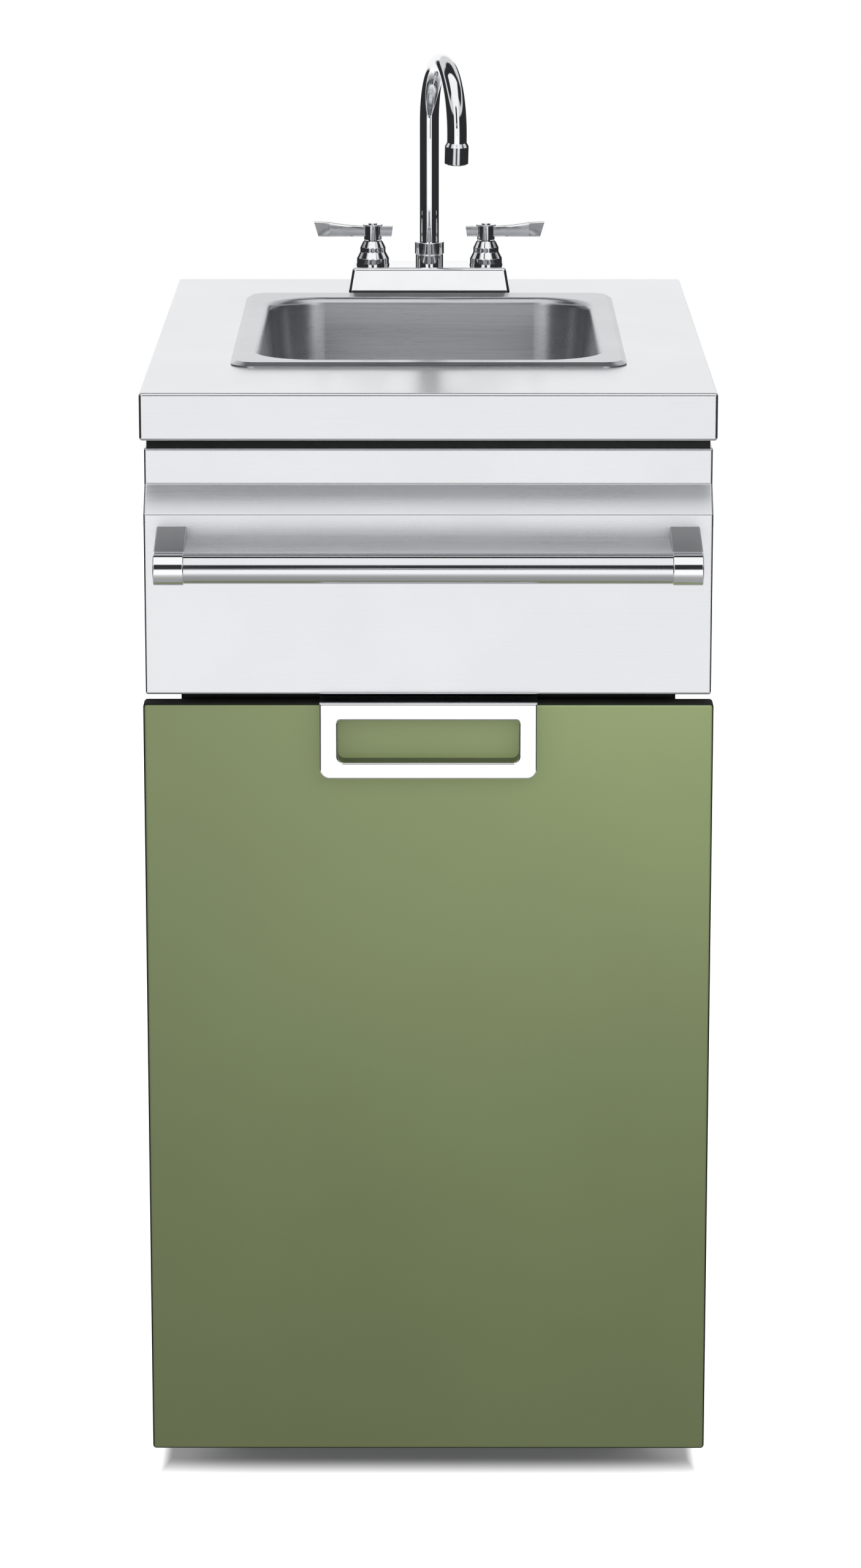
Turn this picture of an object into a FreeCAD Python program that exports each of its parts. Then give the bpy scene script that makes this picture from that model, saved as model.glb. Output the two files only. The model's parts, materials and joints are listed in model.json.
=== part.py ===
"""Sink base cabinet: a narrow stainless unit with a drop-in sink, a deck faucet, a fascia that carries
a towel bar, and one tall painted door. Millimetres, +X right, +Y to the back, +Z up. The origin lies on
the floor under the middle of the whole outline."""
import FreeCAD, Part
import math
import os

V = FreeCAD.Vector
ORIGIN = V(0, 0, 0)
RIGHT = V(1, 0, 0)
BACK = V(0, 1, 0)
FRONT = V(0, -1, 0)
UP = V(0, 0, 1)
DOWN = V(0, 0, -1)

# Worktop
counter_width = 457.2
counter_depth = 657.0
counter_height = 914.4
counter_edge = 38.1
counter_lip = 42.0
sheet = 1.5
bend_inside = 1.0
stiffener_width = 34.0
stiffener_height = 22.0
stiffener_end_gap = 4.0
stiffener_edge_gap = 6.0

# Fascia and the dark reveal above it
front_setback = 4.0
reveal_height = 9.7
reveal_inset = 2.0
reveal_setback = 0.8
apron_inset = 2.3
band_height = 29.0
slope_height = 21.0
slope_depth = 20.5
apron_face_height = 146.7
apron_return = 46.0
apron_end_radius = 1.8
notch_clearance = 0.6
stud_radius = 2.5
stud_length = 14.0

# Towel bar
bar_radius = 12.0
bar_wall = 1.5
bar_standoff = 55.0
bar_drop = 33.0
bar_seat = 10.0
bar_end_clearance = 0.5
bracket_width = 24.0
bracket_side_inset = 12.9
nose_radius = 13.2
root_rise = 10.0
root_fall = 5.0
bracket_edge_radius = 1.0
bar_screw_radius = 3.0
bar_screw_reach = 14.0
bar_screw_spread = 9.0

# Door and its pull
door_gap = 7.3
door_floor_gap = 28.5
door_thickness = 19.0
door_back_gap = 5.5
door_skin_sheet = 1.2
door_edge_radius = 3.0
liner_flange = 9.0
pull_width = 174.0
pull_below = 58.0
pull_lip = 4.2
pull_reach = 18.0
pull_hook = 12.0
pull_corner = 8.0
pull_edge_radius = 1.6
slot_width = 145.0
slot_height = 34.6
slot_above = 14.0
slot_low_corner = 5.5
slot_high_corner = 2.2
pull_screw_radius = 2.0
pull_screw_length = 11.0
pull_screw_spread = 120.0

# Cabinet body
body_side_inset = 29.6
body_back_inset = 20.0
base_height = 45.0
floor_lip = 20.0
flange = 25.0
header_lip = 22.0
header_overlap = 15.0
rail_depth = 30.0
rail_height = 40.0
service_width = 200.0
service_height = 230.0
service_corner = 20.0
counter_screw_radius = 2.5
counter_screw_head = 3.0
counter_screw_from_end = 91.0

# Levelling feet
foot_side_inset = 42.0
foot_front_inset = 76.0
foot_back_inset = 42.0
foot_radius = 19.0
foot_height = 11.0
foot_edge = 2.5
foot_stem_radius = 5.0
foot_stem_above = 5.0
socket_radius = 11.0
socket_height = 14.0

# Hinges, catch and bumpers
hinge_leaf_height = 66.0
hinge_leaf_width = 36.0
hinge_leaf_thickness = 2.0
knuckle_radius = 4.5
knuckle_gap = 0.4
hinge_standoff = 0.5
hinge_pin_radius = 2.0
hinge_head_radius = 3.2
hinge_pin_head = 1.2
hinge_from_end = 90.0
catch_width = 46.0
catch_height = 15.0
catch_depth = 26.0
catch_from_side = 70.0
catch_corner = 1.5
strike_thickness = 1.6
catch_gap = 0.3
bumper_radius = 6.0
bumper_squeeze = 0.2

# Sink
sink_width = 324.0
sink_setback = 131.5
rear_deck = 112.5
rim_height = 3.7
rim_foot = 0.9
rim_skirt = 4.5
rim_corner = 20.0
side_ledge = 21.5
front_ledge = 23.0
rear_ledge = 37.0
bowl_depth = 152.0
bowl_corner = 48.0
bowl_draft = 15.0
bowl_floor_radius = 22.0
bowl_sheet = 1.0
bowl_lip_radius = 7.0
cutout_margin = 10.0
clip_rail_offset = 7.5
clip_rail_sheet = 1.2
clip_rail_height = 19.0
clip_rail_lip = 12.0
clip_width = 18.0
clip_reach = 24.0
clip_screw_radius = 2.0

# Drain and trap
drain_hole_radius = 46.0
drain_flange_radius = 56.0
drain_flange_thickness = 2.0
drain_cup_depth = 46.0
drain_wall = 1.5
drain_spud_length = 16.0
drain_gasket_thickness = 3.0
drain_nut_radius = 59.0
drain_nut_height = 9.0
drain_nut_edge = 1.5
basket_depth = 30.0
basket_gap = 0.8
basket_lip = 5.0
basket_taper = 13.0
basket_hole_radius = 2.5
basket_hole_count = 10
basket_post_radius = 2.5
basket_knob_radius = 6.0
basket_knob_height = 6.0
basket_knob_edge = 1.25
pipe_radius = 19.05
pipe_wall = 1.6
tailpiece_length = 105.0
trap_wall = 2.2
trap_bend_radius = 48.0
trap_socket = 32.0
trap_leg = 60.0
elbow_radius = 38.0
elbow_lead = 8.0
trap_arm_gap = 28.0
slip_nut_wall = 5.0
slip_nut_height = 20.0
slip_nut_shoulder = 4.0
slip_nut_chamfer = 1.5
slip_fit = 0.3

# Faucet
valve_spread = 101.6
faucet_gap = 13.0
faucet_gasket_thickness = 1.5
faucet_gasket_inset = 0.4
base_end_reach = 21.2
base_foot_depth = 58.0
base_height_up = 21.5
base_side_slope = 3.6
base_corner = 3.0
base_edge_radius = 2.8
shank_radius = 10.45
shank_bore = 6.0
shank_seat = 12.0
shank_below = 58.0
inlet_radius = 10.2
inlet_length = 24.0
shank_nut_flats = 32.0
shank_nut_height = 8.0
shank_hole_radius = 14.5
bonnet_foot_radius = 15.1
bonnet_foot_height = 1.3
bonnet_wall_radius = 14.7
bonnet_wall_height = 4.6
bonnet_shoulder_height = 5.8
bonnet_band_radius = 11.6
bonnet_band_height = 3.8
bonnet_cone_height = 5.6
bonnet_cone_radius = 8.8
bonnet_neck_radius = 8.2
bonnet_neck_height = 0.9
bonnet_soft_edge = 1.1
stem_radius = 3.9
hub_radius = 8.0
hub_height = 13.6
hub_cap_radius = 9.0
hub_cap_height = 1.2
hub_cap_edge = 0.5
lever_low = 2.8
lever_root_width = 8.5
lever_root_high = 12.3
lever_waist_at = 20.0
lever_waist_width = 9.5
lever_waist_high = 13.2
lever_knee_at = 38.6
lever_knee_width = 13.0
lever_knee_high = 16.0
lever_reach = 52.7
lever_tip_width = 11.5
lever_tip_high = 16.4
lever_tip_slant = 5.0
lever_tail = 18.2
lever_tail_width = 9.0
lever_tail_slant = 1.7
lever_edge = 1.7
index_height = 1.0
index_edge = 0.5
hub_gap = 0.5
spout_radius = 8.75
spout_wall = 1.2
spout_arch_radius = 56.5
spout_apex = 216.5
spout_overturn = 6.6
spout_rest_yaw = 12.4
collar_radius = 12.6
collar_height = 9.6
spout_nut_radius = 13.3
spout_nut_height = 11.0
nut_groove = 0.8
aerator_radius = 10.6
aerator_height = 15.9
aerator_shoulder = 3.3
aerator_wall = 1.6
aerator_edge = 0.8
aerator_recess = 3.0
aerator_screen = 1.5

# Fits
running_fit = 0.05
hole_clearance = 0.3
tolerance = 0.01

# Positions that follow from the sizes
bend = bend_inside + sheet
counter_half = counter_width / 2
bar_reach = bar_standoff + nose_radius - front_setback
counter_front = (bar_reach - counter_depth) / 2
counter_back = counter_front + counter_depth
counter_under = counter_height - counter_edge
face_y = counter_front + front_setback
band_y = face_y + slope_depth
door_back = face_y + door_thickness
body_front = door_back + door_back_gap
body_back = counter_back - body_back_inset
body_half = counter_half - body_side_inset
body_inner = body_half - sheet
inner_half = body_inner - bend_inside
floor_top = base_height + floor_lip
apron_top = counter_under - reveal_height
band_low = apron_top - band_height
slope_low = band_low - slope_height
apron_low = slope_low - apron_face_height
apron_half = counter_half - apron_inset
apron_back = face_y + apron_return
bar_y = face_y - bar_standoff
bar_z = slope_low - bar_drop
bracket_outer = counter_half - bracket_side_inset
bracket_inner = bracket_outer - bracket_width
door_top = apron_low - door_gap
door_low = door_floor_gap
header_low = door_top - header_overlap
hinge_x = -(body_half + hinge_standoff + knuckle_radius)
hinge_y = door_back + hinge_standoff + knuckle_radius
hinge_heights = (door_low + hinge_from_end, door_top - hinge_from_end)
catch_x = body_half - catch_from_side
sink_half = sink_width / 2
sink_front = counter_front + sink_setback
sink_back = counter_back - rear_deck
rim_top = counter_height + rim_height
rim_under = rim_top - bowl_sheet
bowl_half = sink_half - side_ledge
bowl_front = sink_front + front_ledge
bowl_back = sink_back - rear_ledge
bowl_floor = rim_top - bowl_depth
bowl_under = bowl_floor - bowl_sheet
drain_y = (bowl_front + bowl_back) / 2
drain_cup_radius = drain_hole_radius - hole_clearance
drain_cup_low = bowl_floor - drain_cup_depth
drain_spud_low = drain_cup_low - drain_spud_length
trap_radius = pipe_radius + slip_fit + trap_wall
trap_top = drain_spud_low - tailpiece_length + trap_socket
trap_centre = trap_top - trap_leg
trap_out_y = drain_y + 2 * trap_bend_radius
elbow_z = trap_top + elbow_lead
arm_z = elbow_z + elbow_radius
arm_end = body_back - trap_arm_gap
faucet_y = sink_back + faucet_gap + base_foot_depth / 2
base_low = counter_height + faucet_gasket_thickness
base_top = base_low + base_height_up
bonnet_shoulder_low = bonnet_foot_height + bonnet_wall_height
bonnet_band_low = bonnet_shoulder_low + bonnet_shoulder_height
bonnet_cone_low = bonnet_band_low + bonnet_band_height
bonnet_neck_low = bonnet_cone_low + bonnet_cone_height
bonnet_height = bonnet_neck_low + bonnet_neck_height
bonnet_top = base_top + bonnet_height
hub_low = bonnet_top + hub_gap
hub_top = hub_low + hub_height
shank_low = counter_height - shank_below
arch_z = counter_height + spout_apex - spout_radius - spout_arch_radius
valve_half = valve_spread / 2
base_half = valve_half + base_end_reach


def box(x, y, z):
    """Block between the low and high value of each axis."""
    return Part.makeBox(x[1] - x[0], y[1] - y[0], z[1] - z[0], V(x[0], y[0], z[0]))


def grown(span, margin):
    """Span widened by margin at both ends."""
    return (span[0] - margin, span[1] + margin)


def both(half):
    """Span from minus half to plus half."""
    return (-half, half)


def rod(foot, along, radius, length):
    return Part.makeCylinder(radius, length, foot, along)


def ring(foot, along, outer, inner, length):
    return rod(foot, along, outer, length).cut(rod(foot, along, inner, length))


def hex_bar(foot, flats, length):
    """Upright hexagonal bar of the given width across flats."""
    corner = flats / math.sqrt(3)
    corners = [foot + V(math.cos(k * math.pi / 3), math.sin(k * math.pi / 3), 0) * corner for k in range(7)]
    return Part.Face(Part.makePolygon(corners)).extrude(UP * length)


def mirrored(shape):
    return shape.mirror(ORIGIN, RIGHT)


def pair(shape):
    """The shape and its mirror image, as two solids."""
    return Part.makeCompound([shape, mirrored(shape)])


def rounded(shape, radius, chosen):
    """Round every edge whose bounding box passes the test."""
    return shape.makeFillet(radius, [edge for edge in shape.Edges if chosen(edge.BoundBox)])


def outline(start, *steps):
    """Closed flat face from a start point, straight to each next point or by an arc (middle, end)."""
    edges = []
    here = V(*start)
    for step in steps + (start,):
        if isinstance(step[0], tuple):
            middle, end = V(*step[0]), V(*step[1])
            edges.append(Part.Arc(here, middle, end).toShape())
        else:
            end = V(*step)
            if end.distanceToPoint(here) > 0:
                edges.append(Part.LineSegment(here, end).toShape())
        here = end
    return Part.Face(Part.Wire(edges))


def bent_wire(points, radius):
    """Line through the points with every inner corner rounded to the radius."""
    corners = [V(*point) for point in points]
    edges = []
    here = corners[0]
    for before, corner, after in zip(corners, corners[1:], corners[2:]):
        back = (before - corner).normalize()
        ahead = (after - corner).normalize()
        half = back.getAngle(ahead) / 2
        reach = radius / math.tan(half)
        middle = corner + (back + ahead).normalize() * (radius / math.sin(half) - radius)
        edges.append(Part.LineSegment(here, corner + back * reach).toShape())
        edges.append(Part.Arc(corner + back * reach, middle, corner + ahead * reach).toShape())
        here = corner + ahead * reach
    edges.append(Part.LineSegment(here, corners[-1]).toShape())
    return Part.Wire(edges)


def folded(points, thickness):
    """Section of a sheet folded along the points, its thickness on the inner side of the bends."""
    return bent_wire(points, bend_inside + thickness).makeOffset2D(-thickness, 0, True, True, False)


def along_x(face, x):
    """Extrude a section drawn in (y, z) over the span x."""
    solid = face.extrude(UP * (x[1] - x[0]))
    solid.translate(UP * x[0])
    solid.rotate(ORIGIN, V(1, 1, 1), 120)
    return solid


def turned(face, centre):
    """Turn a section drawn in (radius, height) about the upright axis through the centre."""
    section = face.copy()
    section.rotate(ORIGIN, RIGHT, 90)
    solid = section.revolve(ORIGIN, UP, 360)
    solid.translate(centre)
    return solid


def rounded_rectangle(x, y, z, radius):
    """Level wire round the spans x and y with rounded corners."""
    cut = radius * (1 - math.sqrt(0.5))
    (x0, x1), (y0, y1) = x, y
    sides = (
        (V(x0 + radius, y0, z), V(x1 - radius, y0, z)),
        (V(x1, y0 + radius, z), V(x1, y1 - radius, z)),
        (V(x1 - radius, y1, z), V(x0 + radius, y1, z)),
        (V(x0, y1 - radius, z), V(x0, y0 + radius, z)),
    )
    near, far, left, right = y0 + cut, y1 - cut, x0 + cut, x1 - cut
    knees = (V(right, near, z), V(right, far, z), V(left, far, z), V(left, near, z))
    edges = []
    for index, (start, end) in enumerate(sides):
        edges.append(Part.LineSegment(start, end).toShape())
        edges.append(Part.Arc(end, knees[index], sides[(index + 1) % 4][0]).toShape())
    return Part.Wire(edges)


def plate(x, y, z, radius):
    """Level plate with rounded corners between the low and high value of z."""
    return Part.Face(rounded_rectangle(x, y, z[0], radius)).extrude(UP * (z[1] - z[0]))


def loft(*wires):
    return Part.makeLoft(list(wires), True, True)


def countertop():
    """Folded tray: top sheet, turned-down edges and a lip turned in under them."""
    x, y, z = both(counter_half), (counter_front, counter_back), (counter_under, counter_height)
    tray = rounded(box(x, y, z), bend, lambda b: True)
    inside = box(grown(x, -sheet), grown(y, -sheet), grown(z, -sheet))
    tray = tray.cut(rounded(inside, bend_inside, lambda b: True))
    lip_inside = grown(x, -counter_lip), grown(y, -counter_lip)
    tray = tray.cut(box(*lip_inside, (counter_under, counter_under + 2 * sheet)))
    bowl_x = grown(both(bowl_half), cutout_margin)
    bowl_y = grown((bowl_front, bowl_back), cutout_margin)
    through = (counter_height - 2 * sheet, counter_height)
    tray = tray.cut(plate(bowl_x, bowl_y, through, bowl_corner + cutout_margin))
    for side in both(valve_half):
        tray = tray.cut(rod(V(side, faucet_y, through[0]), UP, shank_hole_radius, 2 * sheet))
    for screw_x, screw_y in counter_screw_places():
        tray = tray.cut(rod(V(screw_x, screw_y, counter_under), UP, counter_screw_radius, 2 * sheet))
    return tray


def counter_stiffeners():
    """Two channels bonded under the top sheet, in front of the bowl and behind the faucet."""
    under = counter_height - sheet
    reach = counter_half - sheet - stiffener_end_gap
    channels = []
    front_low = bowl_front - clip_rail_offset - clip_reach - stiffener_edge_gap - stiffener_width
    back_low = counter_back - sheet - stiffener_edge_gap - stiffener_width
    for low in (front_low, back_low):
        high = low + stiffener_width
        section = folded([(high, under - stiffener_height, 0), (high, under, 0),
                          (low, under, 0), (low, under - stiffener_height, 0)], sheet)
        channels.append(along_x(section, both(reach)))
    return Part.makeCompound(channels)


def counter_screw_places():
    """Three screws a side, through the top flange of each side panel into the worktop's lip."""
    screw_x = body_half - flange / 2
    near = body_front + counter_screw_from_end
    far = body_back - counter_screw_from_end
    return [(side * screw_x, y) for side in (-1, 1) for y in (near, (near + far) / 2, far)]


def counter_screws():
    screws = []
    for screw_x, screw_y in counter_screw_places():
        foot = V(screw_x, screw_y, counter_under - sheet - counter_screw_head)
        shank = rod(foot, UP, counter_screw_radius, counter_screw_head + 2 * sheet)
        screws.append(shank.fuse(rod(foot, UP, 2 * counter_screw_radius, counter_screw_head)))
    return Part.makeCompound(screws)


def body_notch(z):
    """Space that the cabinet body takes out of pieces wrapped round its front corners."""
    return box(both(body_half + notch_clearance), (body_front, apron_back + sheet), z)


def reveal_strip():
    """Dark strip that fills the reveal between the worktop and the fascia."""
    z = (apron_top, counter_under)
    strip = box(both(apron_half - reveal_inset), (band_y + reveal_setback, apron_back), z)
    return strip.cut(body_notch(z))


def apron_outline(inset, back):
    """Fascia outline in (y, z): band, slope and face, drawn in by inset, open towards the back."""
    turn = inset * math.tan(math.atan2(slope_depth, slope_height) / 2)
    return [
        (back, apron_top - inset, 0),
        (band_y + inset, apron_top - inset, 0),
        (band_y + inset, band_low - turn, 0),
        (face_y + inset, slope_low - turn, 0),
        (face_y + inset, apron_low + inset, 0),
        (back, apron_low + inset, 0),
    ]


def stud_places():
    """Centres of the studs behind the fascia's band, over the flanges of the side panels."""
    return [(side * (body_half - flange / 2), (apron_top + band_low) / 2) for side in (-1, 1)]


def apron():
    """Folded pan: band, slope and face with returns all round, notched to clear the cabinet body."""
    def solid(inset, back, radius, half):
        wire = bent_wire(apron_outline(inset, back), radius)
        ends = [vertex.Point for vertex in wire.OrderedVertexes]
        closing = Part.LineSegment(ends[-1], ends[0]).toShape()
        return along_x(Part.Face(Part.Wire(wire.Edges + [closing])), both(half))

    def on_end(b):
        outer = abs(abs(b.XMin) - apron_half) < tolerance
        return b.XLength < tolerance and outer and b.YMin < apron_back - tolerance

    pan = rounded(solid(0, apron_back, bend, apron_half), apron_end_radius, on_end)
    pan = pan.cut(solid(sheet, apron_back + bend, bend_inside, apron_half - sheet))
    pan = pan.cut(body_notch((apron_low - sheet, apron_top + sheet)))
    for screw_x, screw_z in bar_screw_places():
        pan = pan.cut(rod(V(screw_x, face_y, screw_z), BACK, bar_screw_radius + hole_clearance, 2 * sheet))
    return pan


def apron_studs():
    """Studs welded behind the band, each with its spacer and nut, that hold the fascia on the flanges."""
    studs = []
    for stud_x, stud_z in stud_places():
        foot = V(stud_x, band_y + sheet, stud_z)
        stud = rod(foot, BACK, stud_radius, body_front - foot.y + stud_length)
        stud = stud.fuse(rod(foot, BACK, 2 * stud_radius, body_front - foot.y))
        nut = hex_bar(ORIGIN, 4 * stud_radius, 2 * stud_radius)
        nut = nut.cut(rod(ORIGIN, UP, stud_radius, 2 * stud_radius))
        nut.rotate(ORIGIN, RIGHT, -90)
        nut.translate(V(stud_x, body_front + 2 * sheet, stud_z))
        studs.extend([stud, nut])
    return Part.makeCompound(studs)


def bar_bracket():
    """Right bracket: round nose round the bar on an arm that widens towards the fascia."""
    section = outline(
        (face_y, bar_z + nose_radius + root_rise),
        (bar_y, bar_z + nose_radius),
        ((bar_y - nose_radius, bar_z), (bar_y, bar_z - nose_radius)),
        (face_y, bar_z - nose_radius - root_fall),
    )
    arm = along_x(section, (bracket_inner, bracket_outer))
    arm = rounded(arm, bracket_edge_radius, lambda b: b.XLength < tolerance and b.YMin < face_y - tolerance)
    arm = arm.cut(rod(V(bracket_inner, bar_y, bar_z), RIGHT, bar_radius, bar_seat))
    for screw_x, screw_z in bar_screw_places():
        arm = arm.cut(rod(V(screw_x, face_y, screw_z), FRONT, bar_screw_radius, bar_screw_reach))
    return arm


def bar_screw_places():
    """Two screws behind each bracket."""
    screw_x = (bracket_inner + bracket_outer) / 2
    return [(side * screw_x, bar_z + up) for side in (-1, 1) for up in both(bar_screw_spread)]


def bar_screws():
    screws = []
    for screw_x, screw_z in bar_screw_places():
        seat = V(screw_x, face_y + sheet, screw_z)
        shank = rod(seat, FRONT, bar_screw_radius, sheet + bar_screw_reach)
        screws.append(shank.fuse(rod(seat, BACK, 2 * bar_screw_radius, bar_screw_radius)))
    return Part.makeCompound(screws)


def towel_bar():
    half = bracket_inner + bar_seat - bar_end_clearance
    return ring(V(-half, bar_y, bar_z), RIGHT, bar_radius, bar_radius - bar_wall, 2 * half)


def side_panel():
    """Right side: a channel of sheet with a flange turned in at the front, the back and the top."""
    section = folded([(body_half - flange, body_front, 0), (body_half, body_front, 0),
                      (body_half, body_back, 0), (body_half - flange, body_back, 0)], sheet)
    panel = section.extrude(UP * (counter_under - base_height))
    panel.translate(UP * base_height)
    flat = box((body_half - flange, body_inner), (body_front + sheet, body_back - sheet),
               (counter_under - sheet, counter_under))
    panel = panel.fuse(flat).removeSplitter()
    for stud_x, stud_z in stud_places():
        panel = panel.cut(rod(V(stud_x, body_front, stud_z), BACK, stud_radius + hole_clearance, 2 * sheet))
    for screw_x, screw_y in counter_screw_places():
        seat = V(screw_x, screw_y, counter_under - sheet)
        panel = panel.cut(rod(seat, UP, counter_screw_radius + hole_clearance, sheet))
    return panel


def header_panel():
    """Channel behind the fascia that closes the cabinet's front above the door opening."""
    near = body_front + sheet
    far = near + header_lip
    high = counter_under - sheet
    section = folded([(far, high, 0), (near, high, 0), (near, header_low, 0), (far, header_low, 0)], sheet)
    panel = along_x(section, both(inner_half))
    for stud_x, stud_z in stud_places():
        panel = panel.cut(rod(V(stud_x, near, stud_z), BACK, stud_radius + hole_clearance, 2 * sheet))
    return panel


def rear_rail():
    """Channel across the top of the back that ties the side panels together."""
    far = body_back - sheet
    near = far - rail_depth
    high = counter_under - sheet
    low = high - rail_height
    section = folded([(far, low, 0), (far, high, 0), (near, high, 0), (near, low, 0)], sheet)
    return along_x(section, both(inner_half))


def bottom_panel():
    """Cabinet floor with its front and back edges turned down."""
    near = body_front + sheet
    far = body_back - sheet
    section = folded([(far, base_height, 0), (far, floor_top, 0),
                      (near, floor_top, 0), (near, base_height, 0)], sheet)
    panel = along_x(section, both(inner_half))
    for foot_x, foot_y in foot_places().values():
        top = V(foot_x, foot_y, floor_top)
        panel = panel.cut(rod(top, DOWN, foot_stem_radius + 2 * hole_clearance, sheet))
    return panel


def back_panel():
    """Flat back with a rounded service opening for the supply and waste pipes."""
    panel = box(both(body_half), (body_back, body_back + sheet), (base_height, counter_under - sheet))
    opening = plate(both(service_width / 2), both(service_height / 2), both(sheet), service_corner)
    opening.rotate(ORIGIN, RIGHT, 90)
    opening.translate(V(0, body_back + sheet / 2, arm_z))
    return panel.cut(opening)


def foot_places():
    """Plan position of each levelling foot by its name."""
    reach = body_half - foot_side_inset
    near = body_front + foot_front_inset
    far = body_back - foot_back_inset
    return {
        "front_left_foot": (-reach, near),
        "front_right_foot": (reach, near),
        "rear_left_foot": (-reach, far),
        "rear_right_foot": (reach, far),
    }


def levelling_foot(place):
    """Round pad on a threaded stem."""
    centre = V(place[0], place[1], 0)
    pad = rounded(rod(centre, UP, foot_radius, foot_height), foot_edge, lambda b: b.ZLength < tolerance)
    return pad.fuse(rod(centre, UP, foot_stem_radius, floor_top + foot_stem_above))


def foot_sockets():
    """Threaded bushes under the cabinet floor that take the stems of the feet."""
    top = floor_top - sheet
    bushes = []
    for foot_x, foot_y in foot_places().values():
        foot = V(foot_x, foot_y, top - socket_height)
        bushes.append(ring(foot, UP, socket_radius, foot_stem_radius + running_fit, socket_height))
    return Part.makeCompound(bushes)


def hinge_rod(z, radius, height):
    """Round bar on the hinge axis, centred on the height z."""
    return rod(V(hinge_x, hinge_y, z - height / 2), UP, radius, height)


def hinge_window(z):
    """Block round the knuckles over the middle third of a hinge, widened by the knuckle gap."""
    reach = knuckle_radius + 2 * knuckle_gap
    half = hinge_leaf_height / 6 + knuckle_gap
    return box((hinge_x - reach, hinge_x + reach), (hinge_y - reach, hinge_y + reach), (z - half, z + half))


def cabinet_leaves():
    """Leaf on the outside of the left panel with the upper and the lower knuckle of each hinge."""
    leaves = []
    for z in hinge_heights:
        span = (z - hinge_leaf_height / 2, z + hinge_leaf_height / 2)
        thickness = (-body_half - hinge_leaf_thickness, -body_half)
        flat = box(thickness, (hinge_y, hinge_y + hinge_leaf_width), span)
        leaf = flat.fuse(hinge_rod(z, knuckle_radius, hinge_leaf_height)).cut(hinge_window(z))
        leaves.append(leaf.cut(hinge_rod(z, hinge_pin_radius, hinge_leaf_height)))
    return Part.makeCompound(leaves)


def door_leaves():
    """Leaf on the back of the door with the middle knuckle of each hinge."""
    leaves = []
    for z in hinge_heights:
        span = (z - hinge_leaf_height / 2, z + hinge_leaf_height / 2)
        start = hinge_x + knuckle_radius + 2 * knuckle_gap
        flat = box((start, start + hinge_leaf_width), (door_back, door_back + hinge_leaf_thickness), span)
        third = (z - hinge_leaf_height / 6, z + hinge_leaf_height / 6)
        tongue = box((hinge_x, start), (door_back, door_back + hinge_leaf_thickness), third)
        leaf = flat.fuse(tongue).fuse(hinge_rod(z, knuckle_radius, hinge_leaf_height / 3))
        leaf = leaf.cut(hinge_rod(z, hinge_pin_radius + running_fit, hinge_leaf_height))
        leaves.append(leaf.removeSplitter())
    return Part.makeCompound(leaves)


def hinge_pins():
    pins = []
    for z in hinge_heights:
        pin = hinge_rod(z, hinge_pin_radius, hinge_leaf_height)
        for end, along in ((z - hinge_leaf_height / 2, DOWN), (z + hinge_leaf_height / 2, UP)):
            pin = pin.fuse(rod(V(hinge_x, hinge_y, end), along, hinge_head_radius, hinge_pin_head))
        pins.append(pin)
    return Part.makeCompound(pins)


def magnet_catch():
    """Magnet case under the header, its face just behind the strike plate on the door."""
    near = door_back + strike_thickness + catch_gap
    x = grown((catch_x, catch_x), catch_width / 2)
    case = box(x, (near, near + catch_depth), (header_low - catch_height, header_low))
    return rounded(case, catch_corner, lambda b: b.ZLength > tolerance)


def strike_plate():
    x = grown((catch_x, catch_x), catch_width / 2)
    return box(x, (door_back, door_back + strike_thickness), (header_low - catch_height, header_low))


def door_bumpers():
    """Soft pads on the back of the door that meet the right flange of the cabinet."""
    bumper_x = body_half - flange / 2
    thickness = door_back_gap - bumper_squeeze
    pads = [rod(V(bumper_x, door_back, z), BACK, bumper_radius, thickness) for z in hinge_heights]
    return Part.makeCompound(pads)


def door_skin():
    """Painted pan: face sheet with its four edges turned back."""
    x, y, z = both(counter_half), (face_y, door_back), (door_low, door_top)
    pan = rounded(box(x, y, z), door_edge_radius, lambda b: b.YMin < face_y + tolerance)
    inside = (face_y + door_skin_sheet, door_back)
    hollow = box(grown(x, -door_skin_sheet), inside, grown(z, -door_skin_sheet))
    pan = pan.cut(rounded(hollow, door_edge_radius - door_skin_sheet, lambda b: b.YLength > tolerance))
    for screw_x in both(pull_screw_spread / 2):
        pan = pan.cut(pull_screw_hole(screw_x))
    return pan


def door_liner():
    """Inner pan that closes the back of the door."""
    x = grown(both(counter_half), -door_skin_sheet)
    z = grown((door_low, door_top), -door_skin_sheet)
    radius = door_edge_radius - door_skin_sheet
    pan = rounded(box(x, (door_back - liner_flange, door_back), z), radius, lambda b: b.YLength > tolerance)
    hollow = box(grown(x, -door_skin_sheet), (door_back - liner_flange, door_back - door_skin_sheet),
                 grown(z, -door_skin_sheet))
    return pan.cut(hollow)


def pull_screw_hole(screw_x):
    centre = V(screw_x, face_y + pull_hook / 2, door_top + pull_lip)
    return rod(centre, DOWN, pull_screw_radius, pull_screw_length)


def pull_screw_head(screw_x):
    centre = V(screw_x, face_y + pull_hook / 2, door_top + pull_lip - pull_screw_radius)
    return Part.makeCone(pull_screw_radius, 2 * pull_screw_radius, pull_screw_radius, centre, UP)


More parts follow.
